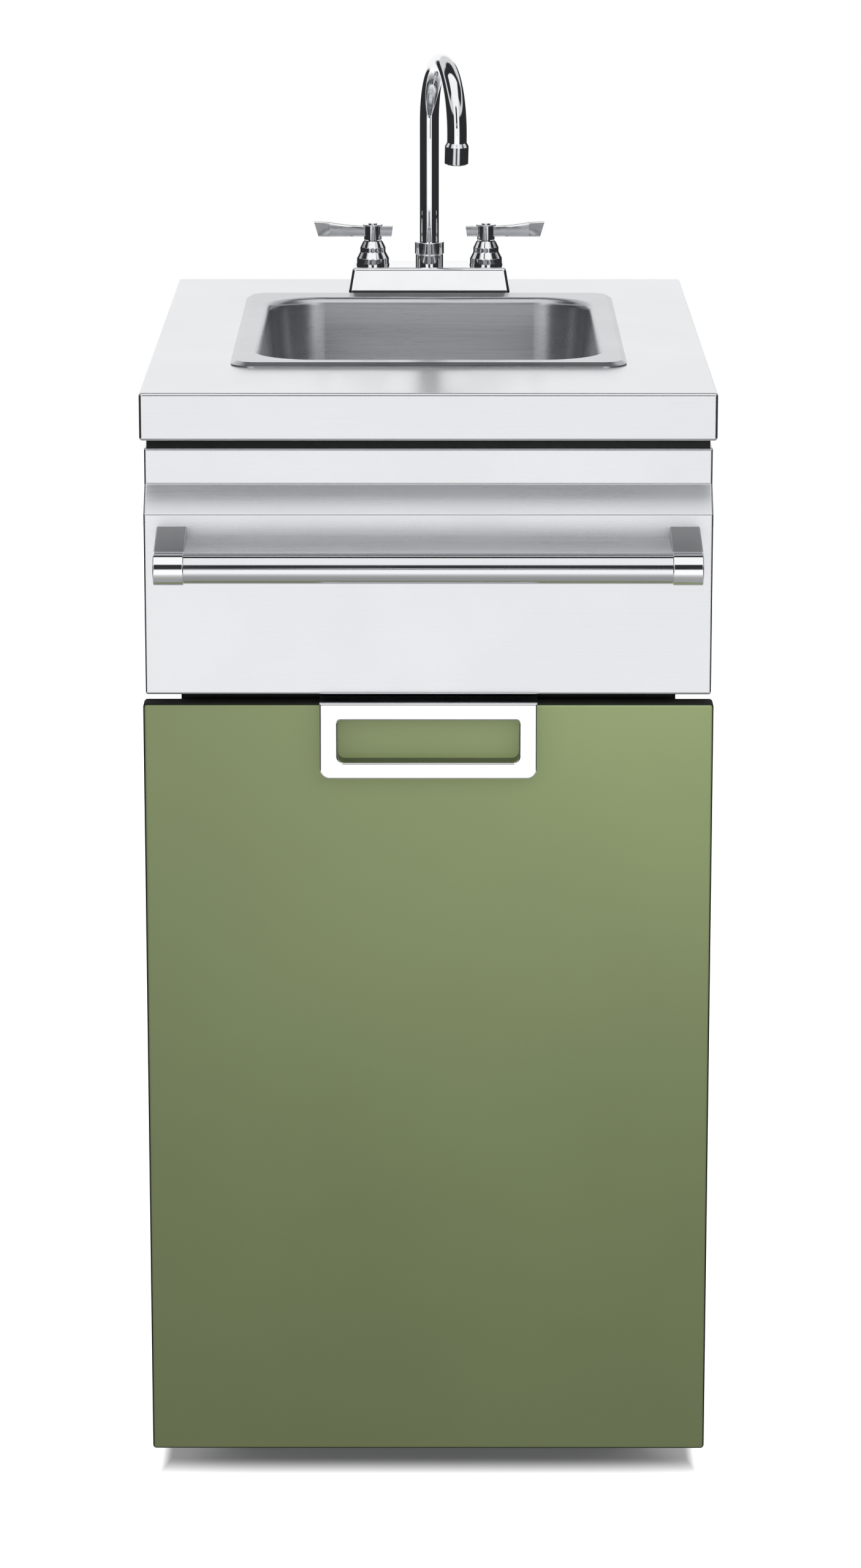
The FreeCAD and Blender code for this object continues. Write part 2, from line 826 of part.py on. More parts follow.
def door_pull():
    """Box frame round a finger slot, with a flat hook that lies on the door's top edge."""
    x = both(pull_width / 2)
    high = door_top + pull_lip
    block = box(x, (face_y - pull_reach, face_y), (door_top - pull_below, high))
    block = rounded(block, pull_corner, lambda b: b.YLength > tolerance and b.ZMax < door_top)
    block = block.fuse(box(x, (face_y, face_y + pull_hook), (door_top, high))).removeSplitter()
    slot_top = high - slot_above
    slot = box(both(slot_width / 2), (face_y - pull_reach, face_y), (slot_top - slot_height, slot_top))
    slot = rounded(slot, slot_low_corner, lambda b: b.YLength > tolerance and b.ZMax < slot_top - tolerance)
    slot = rounded(slot, slot_high_corner, lambda b: b.YLength > tolerance and b.ZMin > slot_top - tolerance)
    frame = block.cut(slot)
    frame = rounded(frame, pull_edge_radius, lambda b: b.YMax < face_y - pull_reach + tolerance)
    for screw_x in both(pull_screw_spread / 2):
        frame = frame.cut(pull_screw_hole(screw_x)).cut(pull_screw_head(screw_x))
    return frame


def pull_screws():
    screws = [pull_screw_hole(x).fuse(pull_screw_head(x)) for x in both(pull_screw_spread / 2)]
    return Part.makeCompound(screws)


def bowl_air(skin):
    """Space above the sink's sheet, drawn out by skin: the air over the rim joined to the bowl by a
    rolled lip. The sheet is the difference between two such spaces, so its two faces stay parallel."""
    top = rim_top - skin
    x, y = grown(both(bowl_half), skin), grown((bowl_front, bowl_back), skin)
    floor_z = bowl_floor - skin
    floor_x, floor_y = grown(x, -bowl_draft), grown(y, -bowl_draft)
    bowl = loft(rounded_rectangle(floor_x, floor_y, floor_z, bowl_corner - bowl_draft + skin),
                rounded_rectangle(x, y, top, bowl_corner + skin))
    bowl = rounded(bowl, bowl_floor_radius + skin, lambda b: b.ZMax < floor_z + tolerance)
    above = box(both(sink_half), (sink_front, sink_back), (top, rim_top + bowl_lip_radius))
    air = above.fuse(bowl)
    inner_x, inner_y = sink_half - tolerance, grown((sink_front, sink_back), -tolerance)

    def on_mouth(b):
        inside = b.XMax < inner_x and b.XMin > -inner_x and b.YMin > inner_y[0] and b.YMax < inner_y[1]
        return inside and b.ZLength < tolerance and abs(b.ZMin - top) < tolerance

    return rounded(air, bowl_lip_radius - skin, on_mouth)


def rim_block(skin):
    """Block under the rim, drawn in by skin: an upright foot and a skirt that slopes up to the ledge."""
    corner = rim_corner - skin
    foot_top = counter_height + rim_foot - skin / 2
    x, y = grown(both(sink_half), -skin), grown((sink_front, sink_back), -skin)
    top_x, top_y = grown(x, -rim_skirt), grown(y, -rim_skirt)
    skirt = loft(rounded_rectangle(x, y, foot_top, corner),
                 rounded_rectangle(top_x, top_y, rim_top - skin, corner - rim_skirt))
    return plate(x, y, (counter_height, foot_top), corner).fuse(skirt).removeSplitter()


def sink():
    """Drawn bowl with a rolled lip, a flat ledge and a sloping rim that stands on the worktop."""
    flat_x = grown(both(sink_half), -rim_skirt)
    flat_y = grown((sink_front, sink_back), -rim_skirt)
    ledge = plate(flat_x, flat_y, (bowl_under, rim_top), rim_corner - rim_skirt)
    air = bowl_air(0)
    shell = bowl_air(bowl_sheet).common(ledge).cut(air)
    shell = shell.fuse(rim_block(0).cut(rim_block(bowl_sheet)).cut(air)).removeSplitter()
    return shell.cut(rod(V(0, drain_y, bowl_under), UP, drain_hole_radius, 2 * bowl_sheet))


def clip_sides():
    """Each side of the bowl: middle of its edge, outward direction, rail length and clip offsets."""
    straight_x = bowl_half - bowl_corner
    straight_y = (bowl_back - bowl_front) / 2 - bowl_corner
    return (
        (V(bowl_half, drain_y, 0), 0, straight_y, both(straight_y / 2)),
        (V(0, bowl_back, 0), 90, straight_x, (0,)),
        (V(-bowl_half, drain_y, 0), 180, straight_y, both(straight_y / 2)),
        (V(0, bowl_front, 0), 270, straight_x, (0,)),
    )


def on_side(shape, middle, turn):
    """Place a piece drawn with +X outward from the bowl's edge."""
    shape.rotate(ORIGIN, UP, turn)
    shape.translate(middle)
    return shape


def sink_rails():
    """Angle strips welded under the rim, one along each side of the bowl."""
    low = rim_under - clip_rail_height
    rails = []
    for middle, turn, half, clips in clip_sides():
        section = folded([(clip_rail_offset, rim_under, 0), (clip_rail_offset, low, 0),
                          (clip_rail_offset + clip_rail_lip, low, 0)], clip_rail_sheet)
        rail = along_x(section, both(half))
        rail.rotate(ORIGIN, UP, -90)
        for clip in clips:
            rail = rail.cut(clip_screw_hole(clip, hole_clearance))
        rails.append(on_side(rail, middle, turn))
    return Part.makeCompound(rails)


def clip_screw_hole(offset, clearance):
    low = rim_under - clip_rail_height - 2 * clip_rail_sheet
    centre = V(clip_rail_offset + clip_rail_lip - 2 * clip_screw_radius, offset, low)
    return rod(centre, UP, clip_screw_radius + clearance, 5 * clip_rail_sheet)


def sink_clips():
    """Clips under the rails whose outer ends bear up on the worktop's top sheet."""
    high = rim_under - clip_rail_height
    far = clip_rail_offset + clip_reach
    clips = []
    for middle, turn, half, offsets in clip_sides():
        for offset in offsets:
            low = high - clip_rail_sheet
            section = folded([(clip_rail_offset, low, 0), (far, low, 0), (far, counter_height - sheet, 0)],
                             clip_rail_sheet)
            clip = along_x(section, grown((offset, offset), clip_width / 2))
            clip.rotate(ORIGIN, UP, -90)
            clip = clip.cut(clip_screw_hole(-offset, hole_clearance))
            clips.append(on_side(clip, middle, turn))
    return Part.makeCompound(clips)


def clip_screws():
    """Screws that hold the clips up to the rails, each with its nut on the rail."""
    head = rim_under - clip_rail_height - clip_rail_sheet
    screws = []
    for middle, turn, half, offsets in clip_sides():
        for offset in offsets:
            screw = clip_screw_hole(offset, 0)
            seat = V(screw.BoundBox.Center.x, offset, head)
            screw = screw.fuse(rod(seat, DOWN, 2 * clip_screw_radius, clip_rail_sheet))
            nut_foot = seat + UP * 2 * clip_rail_sheet
            nut = ring(nut_foot, UP, 2 * clip_screw_radius, clip_screw_radius, 2 * clip_rail_sheet)
            screws.extend([on_side(screw, middle, turn), on_side(nut, middle, turn)])
    return Part.makeCompound(screws)


def drain_body():
    """Flanged cup in the bowl's floor with a spud below for the tailpiece."""
    cup = drain_cup_radius
    inner = cup - drain_wall
    spud = pipe_radius
    bore = spud - drain_wall
    face = outline(
        (bore, drain_spud_low), (spud, drain_spud_low), (spud, drain_cup_low - drain_wall),
        (cup, drain_cup_low - drain_wall), (cup, bowl_floor), (drain_flange_radius, bowl_floor),
        (drain_flange_radius - drain_flange_thickness, bowl_floor + drain_flange_thickness),
        (inner + drain_flange_thickness, bowl_floor + drain_flange_thickness), (inner, bowl_floor),
        (inner, drain_cup_low), (bore, drain_cup_low),
    )
    return turned(face, V(0, drain_y, 0))


def drain_gasket():
    foot = V(0, drain_y, bowl_under - drain_gasket_thickness)
    return ring(foot, UP, drain_flange_radius, drain_cup_radius, drain_gasket_thickness)


def drain_nut():
    """Ring nut under the bowl with a rounded outer edge."""
    foot = V(0, drain_y, bowl_under - drain_gasket_thickness - drain_nut_height)
    nut = ring(foot, UP, drain_nut_radius, drain_cup_radius, drain_nut_height)
    return rounded(nut, drain_nut_edge, lambda b: b.ZLength < tolerance and b.XMax > drain_flange_radius)


def strainer_basket():
    """Lift-out cup with a lip on the drain's flange, a ring of holes and a knob to lift it by."""
    radius = drain_cup_radius - drain_wall - basket_gap
    inner = radius - drain_wall
    seat = bowl_floor + drain_flange_thickness
    low = bowl_floor - basket_depth
    floor_radius = radius - basket_taper
    shoulder = low + basket_taper
    knob_low = seat - basket_knob_height
    face = outline(
        (0, low), (floor_radius, low), (radius, shoulder), (radius, seat), (radius + basket_lip, seat),
        (radius + basket_lip, seat + drain_wall), (inner, seat + drain_wall),
        (inner, shoulder + drain_wall / 2), (floor_radius - drain_wall / 2, low + drain_wall),
        (basket_post_radius, low + drain_wall), (basket_post_radius, knob_low),
        (basket_knob_radius, knob_low), (basket_knob_radius, seat), (0, seat),
    )

    def on_knob(b):
        return abs(b.ZMin - seat) < tolerance and b.XMax < basket_knob_radius + tolerance

    basket = rounded(turned(face, V(0, drain_y, 0)), basket_knob_edge, on_knob)
    for index in range(basket_hole_count):
        angle = 2 * math.pi * index / basket_hole_count
        centre = V(math.cos(angle), math.sin(angle), 0) * (floor_radius / 2) + V(0, drain_y, low)
        basket = basket.cut(rod(centre, UP, basket_hole_radius, drain_wall))
    return basket


def pipe(radius, path):
    """Solid of a round rod carried along a path of straight runs and bends."""
    start = path.Edges[0]
    at = start.FirstParameter
    circle = Part.Circle(start.valueAt(at), start.tangentAt(at), radius)
    return path.makePipeShell([Part.Wire(circle.toShape())], True, True)


def hollow_pipe(radius, wall, path):
    return pipe(radius, path).cut(pipe(radius - wall, path))


def tailpiece():
    low = drain_spud_low - tailpiece_length
    foot = V(0, drain_y, low)
    return ring(foot, UP, pipe_radius, pipe_radius - pipe_wall, tailpiece_length)


def trap_bend():
    """U bend: down from the tailpiece, round and up to the trap arm."""
    near, far = V(0, drain_y, trap_centre), V(0, trap_out_y, trap_centre)
    lowest = V(0, drain_y + trap_bend_radius, trap_centre - trap_bend_radius)
    path = Part.Wire([
        Part.LineSegment(V(0, drain_y, trap_top), near).toShape(),
        Part.Arc(near, lowest, far).toShape(),
        Part.LineSegment(far, V(0, trap_out_y, trap_top)).toShape(),
    ])
    return hollow_pipe(trap_radius, trap_wall, path)


def trap_arm():
    """Elbow up out of the bend and a level run that ends short of the service opening."""
    cut = elbow_radius * (1 - math.sqrt(0.5))
    low, high = V(0, trap_out_y, elbow_z), V(0, trap_out_y + elbow_radius, arm_z)
    knee = V(0, trap_out_y + cut, arm_z - cut)
    path = Part.Wire([
        Part.LineSegment(V(0, trap_out_y, trap_top - trap_socket), low).toShape(),
        Part.Arc(low, knee, high).toShape(),
        Part.LineSegment(high, V(0, arm_end, arm_z)).toShape(),
    ])
    return hollow_pipe(pipe_radius, pipe_wall, path)


def slip_nut(centre):
    """Nut whose shoulder closes on the pipe above a joint and whose skirt covers the socket below."""
    skirt = trap_radius
    outer = skirt + slip_nut_wall
    low = -slip_nut_height + slip_nut_shoulder
    chamfer_low, chamfer_in = slip_nut_shoulder - slip_nut_chamfer, outer - slip_nut_chamfer
    face = outline((skirt, low), (outer, low), (outer, chamfer_low), (chamfer_in, slip_nut_shoulder),
                   (pipe_radius, slip_nut_shoulder), (pipe_radius, 0), (skirt, 0))
    return turned(face, centre)


def slip_nuts():
    """Nuts at both ends of the trap bend and a coupling at the drain's spud."""
    coupling = ring(V(0, drain_y, drain_spud_low - slip_nut_height / 2), UP, pipe_radius + slip_nut_wall,
                    pipe_radius, slip_nut_height)
    nuts = [slip_nut(V(0, y, trap_top)) for y in (drain_y, trap_out_y)]
    return Part.makeCompound(nuts + [coupling])


def faucet_base():
    """Deck plate with sloping sides and soft edges, bored for the two shanks."""
    y = grown((faucet_y, faucet_y), base_foot_depth / 2)
    top_x, top_y = both(base_half - base_side_slope), grown(y, -base_side_slope)
    body = loft(rounded_rectangle(both(base_half), y, base_low, base_corner),
                rounded_rectangle(top_x, top_y, base_top, base_corner))
    body = rounded(body, base_edge_radius, lambda b: b.ZMin > base_top - tolerance)
    for side in both(valve_half):
        seat = V(side, faucet_y, base_low + shank_seat)
        body = body.cut(rod(seat, DOWN, shank_radius, shank_seat))
        body = body.cut(rod(seat, UP, stem_radius + running_fit, base_height_up))
    return body


def faucet_gasket():
    half = base_half - faucet_gasket_inset
    y = grown((faucet_y, faucet_y), base_foot_depth / 2 - faucet_gasket_inset)
    pad = plate(both(half), y, (counter_height, base_low), base_corner)
    for side in both(valve_half):
        pad = pad.cut(rod(V(side, faucet_y, counter_height), UP, shank_radius, faucet_gasket_thickness))
    return pad


def inlet_shanks():
    """Threaded tubes from the base down through the worktop, each ending in a plain inlet."""
    top = base_low + shank_seat
    foot = V(valve_half, faucet_y, shank_low)
    shank = rod(foot + UP * inlet_length, UP, shank_radius, top - shank_low - inlet_length)
    shank = shank.fuse(rod(foot, UP, inlet_radius, inlet_length))
    return pair(shank.cut(rod(foot, UP, shank_bore, top - shank_low)))


def shank_nuts():
    """Washer-faced nuts that pull the shanks up against the worktop."""
    top = counter_height - sheet
    seat = V(valve_half, faucet_y, top - sheet)
    nut = hex_bar(seat - UP * shank_nut_height, shank_nut_flats, shank_nut_height)
    nut = nut.fuse(rod(seat, UP, shank_nut_flats / 2 + sheet, sheet))
    return pair(nut.cut(rod(seat - UP * shank_nut_height, UP, shank_radius, shank_nut_height + sheet)))


def valve_bonnets():
    """Stepped covers: a thin foot, a wall, a sloping shoulder, a band and a cone up to the neck."""
    bore = stem_radius + running_fit
    face = outline(
        (bore, 0), (bonnet_foot_radius, 0), (bonnet_foot_radius, bonnet_foot_height),
        (bonnet_wall_radius, bonnet_foot_height), (bonnet_wall_radius, bonnet_shoulder_low),
        (bonnet_band_radius, bonnet_band_low), (bonnet_band_radius, bonnet_cone_low),
        (bonnet_cone_radius, bonnet_neck_low), (bonnet_neck_radius, bonnet_neck_low),
        (bonnet_neck_radius, bonnet_height), (bore, bonnet_height),
    )
    corners = (bonnet_shoulder_low, bonnet_band_low, bonnet_cone_low)

    def on_corner(b):
        return b.ZLength < tolerance and any(abs(b.ZMin - height) < tolerance for height in corners)

    bonnet = rounded(turned(face, ORIGIN), bonnet_soft_edge, on_corner)
    bonnet.translate(V(valve_half, faucet_y, base_top))
    return pair(bonnet)


def valve_stem(side):
    foot = base_low + shank_seat + hub_gap
    length = hub_top - index_height - foot
    return rod(V(side * valve_half, faucet_y, foot), UP, stem_radius, length)


def lever(side):
    """Lever handle: a capped hub with a blade that swells to a knee and a slanted tip, and a short tail."""
    def section(x, width, high):
        wire = rounded_rectangle((lever_low, high), both(width / 2), 0, lever_edge)
        wire.rotate(ORIGIN, BACK, -90)
        wire.translate(RIGHT * x)
        return wire

    def slanted(shape, x, high, slant):
        wedge = outline((x, high), (x, 0), (x - slant, 0))
        wedge.rotate(ORIGIN, RIGHT, 90)
        wedge.translate(BACK * lever_knee_width)
        return shape.cut(wedge.extrude(FRONT * 2 * lever_knee_width))

    root = hub_radius / 2
    knee = section(lever_knee_at, lever_knee_width, lever_knee_high)
    neck = Part.makeLoft([
        section(root, lever_root_width, lever_root_high),
        section(lever_waist_at, lever_waist_width, lever_waist_high),
        knee,
    ], True, False)
    tip = loft(knee, section(lever_reach, lever_tip_width, lever_tip_high))
    tip = slanted(tip, lever_reach, lever_tip_high, lever_tip_slant)
    tail = loft(section(-root, lever_root_width, lever_root_high),
                section(-lever_tail, lever_tail_width, lever_root_high))
    tail = slanted(tail, -lever_tail, lever_root_high, -lever_tail_slant)
    hub = rod(ORIGIN, UP, hub_radius, hub_height - hub_cap_height)
    cap = rod(UP * (hub_height - hub_cap_height), UP, hub_cap_radius, hub_cap_height)
    cap = rounded(cap, hub_cap_edge, lambda b: b.ZLength < tolerance)
    handle = hub.fuse([neck, tip, tail, cap]).removeSplitter()
    handle = handle.cut(rod(ORIGIN, UP, stem_radius, hub_height))
    if side < 0:
        handle = mirrored(handle)
    handle.translate(V(side * valve_half, faucet_y, hub_low))
    return handle


def index_cap(side):
    """Low button that closes the hub over the stem."""
    foot = V(side * valve_half, faucet_y, hub_top - index_height)
    button = rod(foot, UP, stem_radius, 2 * index_height)
    return rounded(button, index_edge, lambda b: b.ZMin > hub_top)


def spout_collar():
    """Plain ring on the base round the foot of the spout."""
    centre = V(0, faucet_y, base_top)
    body = ring(centre, UP, collar_radius, spout_radius + running_fit, collar_height)

    def on_top_rim(b):
        return b.ZMin > base_top + tolerance and b.XMax > collar_radius - tolerance

    return rounded(body, nut_groove, on_top_rim)


def spout_nut():
    """Swivel nut over the collar with rounded edges."""
    low = base_top + collar_height
    body = ring(V(0, faucet_y, low), UP, spout_nut_radius, spout_radius + running_fit, spout_nut_height)
    rim = spout_nut_radius - tolerance
    return rounded(body, nut_groove, lambda b: b.ZLength < tolerance and b.XMax > rim)


def turned_to_rest(shape):
    """Swing a spout piece drawn straight to the front to its resting direction."""
    shape.rotate(V(0, faucet_y, 0), UP, spout_rest_yaw)
    return shape


def spout_end():
    """Centre of the tube's open end, past the level of the arch's centre by the overturn."""
    turn = math.radians(spout_overturn)
    reach = spout_arch_radius * (1 + math.cos(turn))
    return V(0, faucet_y - reach, arch_z - spout_arch_radius * math.sin(turn))


def spout_tube():
    """Gooseneck: a straight riser and an arch that turns a little past the half circle."""
    foot = base_top + hub_gap
    near = V(0, faucet_y, arch_z)
    apex = V(0, faucet_y - spout_arch_radius, arch_z + spout_arch_radius)
    path = Part.Wire([
        Part.LineSegment(V(0, faucet_y, foot), near).toShape(),
        Part.Arc(near, apex, spout_end()).toShape(),
    ])
    return turned_to_rest(hollow_pipe(spout_radius, spout_wall, path))


def aerator():
    """Outlet on the end of the spout: a sloping shoulder, a plain ring and a recessed screen."""
    low = -aerator_shoulder - aerator_height
    bore = spout_radius - spout_wall
    mouth = aerator_radius - aerator_wall
    screen_low = low + aerator_recess
    screen_high = screen_low + aerator_screen
    face = outline(
        (0, screen_low), (mouth, screen_low), (mouth, low), (aerator_radius - aerator_edge, low),
        (aerator_radius, low + aerator_edge), (aerator_radius, -aerator_shoulder), (spout_radius, 0),
        (bore, 0), (bore, screen_high), (0, screen_high),
    )
    outlet = turned(face, ORIGIN)
    outlet.rotate(ORIGIN, RIGHT, spout_overturn)
    outlet.translate(spout_end())
    return turned_to_rest(outlet)


os.makedirs("parts", exist_ok=True)
nodes = {
    "countertop": countertop(),
    "counter_stiffeners": counter_stiffeners(),
    "counter_screws": counter_screws(),
    "reveal_strip": reveal_strip(),
    "apron": apron(),
    "apron_studs": apron_studs(),
    "right_bar_bracket": bar_bracket(),
    "left_bar_bracket": mirrored(bar_bracket()),
    "bar_screws": bar_screws(),
    "towel_bar": towel_bar(),
    "right_side_panel": side_panel(),
    "left_side_panel": mirrored(side_panel()),
    "header_panel": header_panel(),
    "rear_rail": rear_rail(),
    "bottom_panel": bottom_panel(),
    "back_panel": back_panel(),
    "foot_sockets": foot_sockets(),
    "cabinet_leaves": cabinet_leaves(),
    "hinge_pins": hinge_pins(),
    "magnet_catch": magnet_catch(),
    "door_skin": door_skin(),
    "door_liner": door_liner(),
    "door_pull": door_pull(),
    "pull_screws": pull_screws(),
    "door_leaves": door_leaves(),
    "strike_plate": strike_plate(),
    "door_bumpers": door_bumpers(),
    "sink": sink(),
    "sink_rails": sink_rails(),
    "sink_clips": sink_clips(),
    "clip_screws": clip_screws(),
    "drain_body": drain_body(),
    "drain_gasket": drain_gasket(),
    "drain_nut": drain_nut(),
    "strainer_basket": strainer_basket(),
    "tailpiece": tailpiece(),
    "trap_bend": trap_bend(),
    "trap_arm": trap_arm(),
    "slip_nuts": slip_nuts(),
    "faucet_base": faucet_base(),
    "faucet_gasket": faucet_gasket(),
    "inlet_shanks": inlet_shanks(),
    "shank_nuts": shank_nuts(),
    "valve_bonnets": valve_bonnets(),
    "hot_stem": valve_stem(-1),
    "hot_lever": lever(-1),
    "hot_cap": index_cap(-1),
    "cold_stem": valve_stem(1),
    "cold_lever": lever(1),
    "cold_cap": index_cap(1),
    "spout_collar": spout_collar(),
    "spout_nut": spout_nut(),
    "spout_tube": spout_tube(),
    "aerator": aerator(),
}
for name, place in foot_places().items():
    nodes[name] = levelling_foot(place)
for name, shape in nodes.items():
    shape.exportStep(os.path.join("parts", name + ".step"))
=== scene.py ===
# %% [markdown]
# This lesson dresses a narrow sink base cabinet: a folded stainless worktop with a drop-in sink and a
# chrome faucet, a sloped fascia that carries a towel bar, and one tall door in green paint. The shapes
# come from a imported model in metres, so nothing is moved or resized here. The lesson adds finishes,
# small fasteners and threads, a plain studio and the camera.

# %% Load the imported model
import json
import math

import bmesh
import bpy
import numpy as np
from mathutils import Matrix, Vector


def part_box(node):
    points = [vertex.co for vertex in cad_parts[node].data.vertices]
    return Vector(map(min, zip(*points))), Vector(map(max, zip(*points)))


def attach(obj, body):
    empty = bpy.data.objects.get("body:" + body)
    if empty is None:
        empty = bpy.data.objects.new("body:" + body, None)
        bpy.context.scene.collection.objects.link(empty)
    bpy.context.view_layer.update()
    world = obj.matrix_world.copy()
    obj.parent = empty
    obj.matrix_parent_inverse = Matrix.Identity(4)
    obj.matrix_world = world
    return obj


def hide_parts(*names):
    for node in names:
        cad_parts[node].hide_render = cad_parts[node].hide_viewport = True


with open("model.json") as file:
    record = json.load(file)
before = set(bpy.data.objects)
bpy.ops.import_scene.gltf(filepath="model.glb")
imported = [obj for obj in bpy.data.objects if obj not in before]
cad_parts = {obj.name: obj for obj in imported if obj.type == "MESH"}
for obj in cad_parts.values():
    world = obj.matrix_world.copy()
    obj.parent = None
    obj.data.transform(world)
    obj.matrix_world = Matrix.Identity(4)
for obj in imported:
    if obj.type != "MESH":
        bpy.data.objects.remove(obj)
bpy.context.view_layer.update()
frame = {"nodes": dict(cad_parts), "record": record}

# %% [markdown]
# A finish in Blender is a small network of shader nodes. Writing each node by hand takes many lines, so
# a few helpers do it: one adds a node and fills its sockets, with a value or with a link, others add a
# calculation, a soft step or a mix of two colours. The last opens a node group, the reusable box that
# several finishes share.

# %% Helpers for shader nodes
def add(tree, kind, sockets=None, **settings):
    """Add a shader node, set its properties, and fill each named socket by a value or by a link."""
    made = tree.nodes.new("ShaderNode" + kind)
    for name, value in settings.items():
        setattr(made, name, value)
    for name, value in (sockets or {}).items():
        if isinstance(value, bpy.types.NodeSocket):
            tree.links.new(value, made.inputs[name])
        else:
            made.inputs[name].default_value = value
    return made


def calc(tree, operation, first, second=0.0, third=0.0):
    """Output of a Math node."""
    return add(tree, "Math", {0: first, 1: second, 2: third}, operation=operation).outputs[0]


def between(tree, value, low, high):
    """Value carried smoothly from 0 at low to 1 at high."""
    made = add(tree, "MapRange", {"Value": value, "From Min": low, "From Max": high},
               interpolation_type="SMOOTHSTEP")
    return made.outputs["Result"]


# A Mix node has sockets for every kind of data, so its colour sockets are picked by number.
COLOUR_A, COLOUR_B, COLOUR_RESULT = 6, 7, 2


def blend(tree, factor, first, second):
    """Colour mixed from first to second by the factor."""
    made = add(tree, "Mix", {"Factor": factor, COLOUR_A: first, COLOUR_B: second}, data_type="RGBA")
    return made.outputs[COLOUR_RESULT]


def open_group(name, inputs, outputs):
    """New node group with named sockets; gives its tree, what comes in and what goes out."""
    tree = bpy.data.node_groups.new(name, "ShaderNodeTree")
    for socket, kind, value in inputs:
        made = tree.interface.new_socket(socket, in_out="INPUT", socket_type="NodeSocket" + kind)
        made.default_value = value
    for socket in outputs:
        tree.interface.new_socket(socket, in_out="OUTPUT", socket_type="NodeSocketFloat")
    return tree, tree.nodes.new("NodeGroupInput").outputs, tree.nodes.new("NodeGroupOutput").inputs


# %% [markdown]
# Brushed steel gets its look from thousands of fine parallel scratches. Here they are a noise that is
# stretched along the brushing direction: a few periods per metre along the grain and a thousand or
# more across it. A second, coarser noise groups the scratches into longer bands, as a grinding belt does.

# %% Brushed grain group
def make_brushed_grain():
    """Streaks from two noises on object coordinates, stretched by the group's vector input."""
    tree, given, out = open_group("brushed_grain", [("Stretch", "Vector", (7.0, 2300.0, 2300.0))],
                                  ["Streak", "Band"])
    place = add(tree, "TexCoord").outputs["Object"]
    fine = add(tree, "Mapping", {"Vector": place, "Scale": given["Stretch"]}).outputs[0]
    streak = add(tree, "TexNoise", {"Vector": fine, "Scale": 1.0, "Detail": 2.0, "Roughness": 0.6})
    band = add(tree, "TexNoise", {"Vector": fine, "Scale": 0.13, "Detail": 2.0, "Roughness": 0.5})
    tree.links.new(between(tree, streak.outputs["Fac"], 0.25, 0.75), out["Streak"])
    tree.links.new(between(tree, band.outputs["Fac"], 0.25, 0.75), out["Band"])
    return tree


brushed_grain = make_brushed_grain()
print("group made:", brushed_grain.name)

# %% [markdown]
# No real surface is equally shiny all over: wiping leaves soft hazy patches, and a sheet is never
# quite flat. One group gives both, a patch mask for the roughness and a slow height for a Bump node.

# %% Haze group
def make_haze():
    """Soft patches of the given size in metres, and a slow waviness of four times that size."""
    tree, given, out = open_group("haze", [("Patch Size", "Float", 0.08)], ["Patch", "Waviness"])
    place = add(tree, "TexCoord").outputs["Object"]
    scale = calc(tree, "DIVIDE", 1.0, given["Patch Size"])
    wide = calc(tree, "MULTIPLY", scale, 0.25)
    patch = add(tree, "TexNoise", {"Vector": place, "Scale": scale, "Detail": 4.0, "Roughness": 0.55})
    slow = add(tree, "TexNoise", {"Vector": place, "Scale": wide, "Detail": 1.0})
    tree.links.new(between(tree, patch.outputs["Fac"], 0.3, 0.7), out["Patch"])
    tree.links.new(slow.outputs["Fac"], out["Waviness"])
    return tree


haze = make_haze()
print("group made:", haze.name)

# %% [markdown]
# Some pieces have another tone in one place only, such as a recess. A box marks out that place. The
# smallest of a point's distances to the faces tells how deep it lies inside the box, and is negative
# outside, so a group can make a mask from two corners, with nothing painted by hand.

# %% Box field group
def make_box_field():
    """Mask of the box between two corners: 0 outside, and 1 from the given width inside its faces."""
    tree, given, out = open_group("box_field", [("Low Corner", "Vector", (0.0, 0.0, 0.0)),
                                                ("High Corner", "Vector", (1.0, 1.0, 1.0)),
                                                ("Width", "Float", 0.004)], ["Inside"])
    place = add(tree, "TexCoord").outputs["Object"]
    above = add(tree, "VectorMath", {0: place, 1: given["Low Corner"]}, operation="SUBTRACT").outputs[0]
    below = add(tree, "VectorMath", {0: given["High Corner"], 1: place}, operation="SUBTRACT").outputs[0]
    nearest = add(tree, "VectorMath", {0: above, 1: below}, operation="MINIMUM").outputs[0]
    x, y, z = add(tree, "SeparateXYZ", {0: nearest}).outputs
    depth = calc(tree, "MINIMUM", calc(tree, "MINIMUM", x, y), z)
    tree.links.new(between(tree, depth, 0.0, given["Width"]), out["Inside"])
    return tree


box_field = make_box_field()
print("group made:", box_field.name)

# %% [markdown]
# Sprayed paint and moulded plastic dry or cool with a faint pebbled skin, often called orange peel. Two
# noises give its height, one five times as fine as the other.

# %% Pebble group
def make_pebble():
    """Height of a pebbled skin whose coarse grain has the given size in metres."""
    tree, given, out = open_group("pebble", [("Grain Size", "Float", 0.003)], ["Height"])
    place = add(tree, "TexCoord").outputs["Object"]
    scale = calc(tree, "DIVIDE", 1.0, given["Grain Size"])
    small = calc(tree, "MULTIPLY", scale, 5.0)
    coarse = add(tree, "TexNoise", {"Vector": place, "Scale": scale, "Detail": 1.0})
    fine = add(tree, "TexNoise", {"Vector": place, "Scale": small, "Detail": 2.0})
    height = calc(tree, "MULTIPLY_ADD", fine.outputs["Fac"], 0.25, coarse.outputs["Fac"])
    tree.links.new(height, out["Height"])
    return tree


pebble = make_pebble()
print("group made:", pebble.name)

# %% [markdown]
# Every material below starts the same way: a Principled shader with a few constant sockets, some of the
# groups above, and one or two Bump nodes in a row. These helpers keep the recipes short.

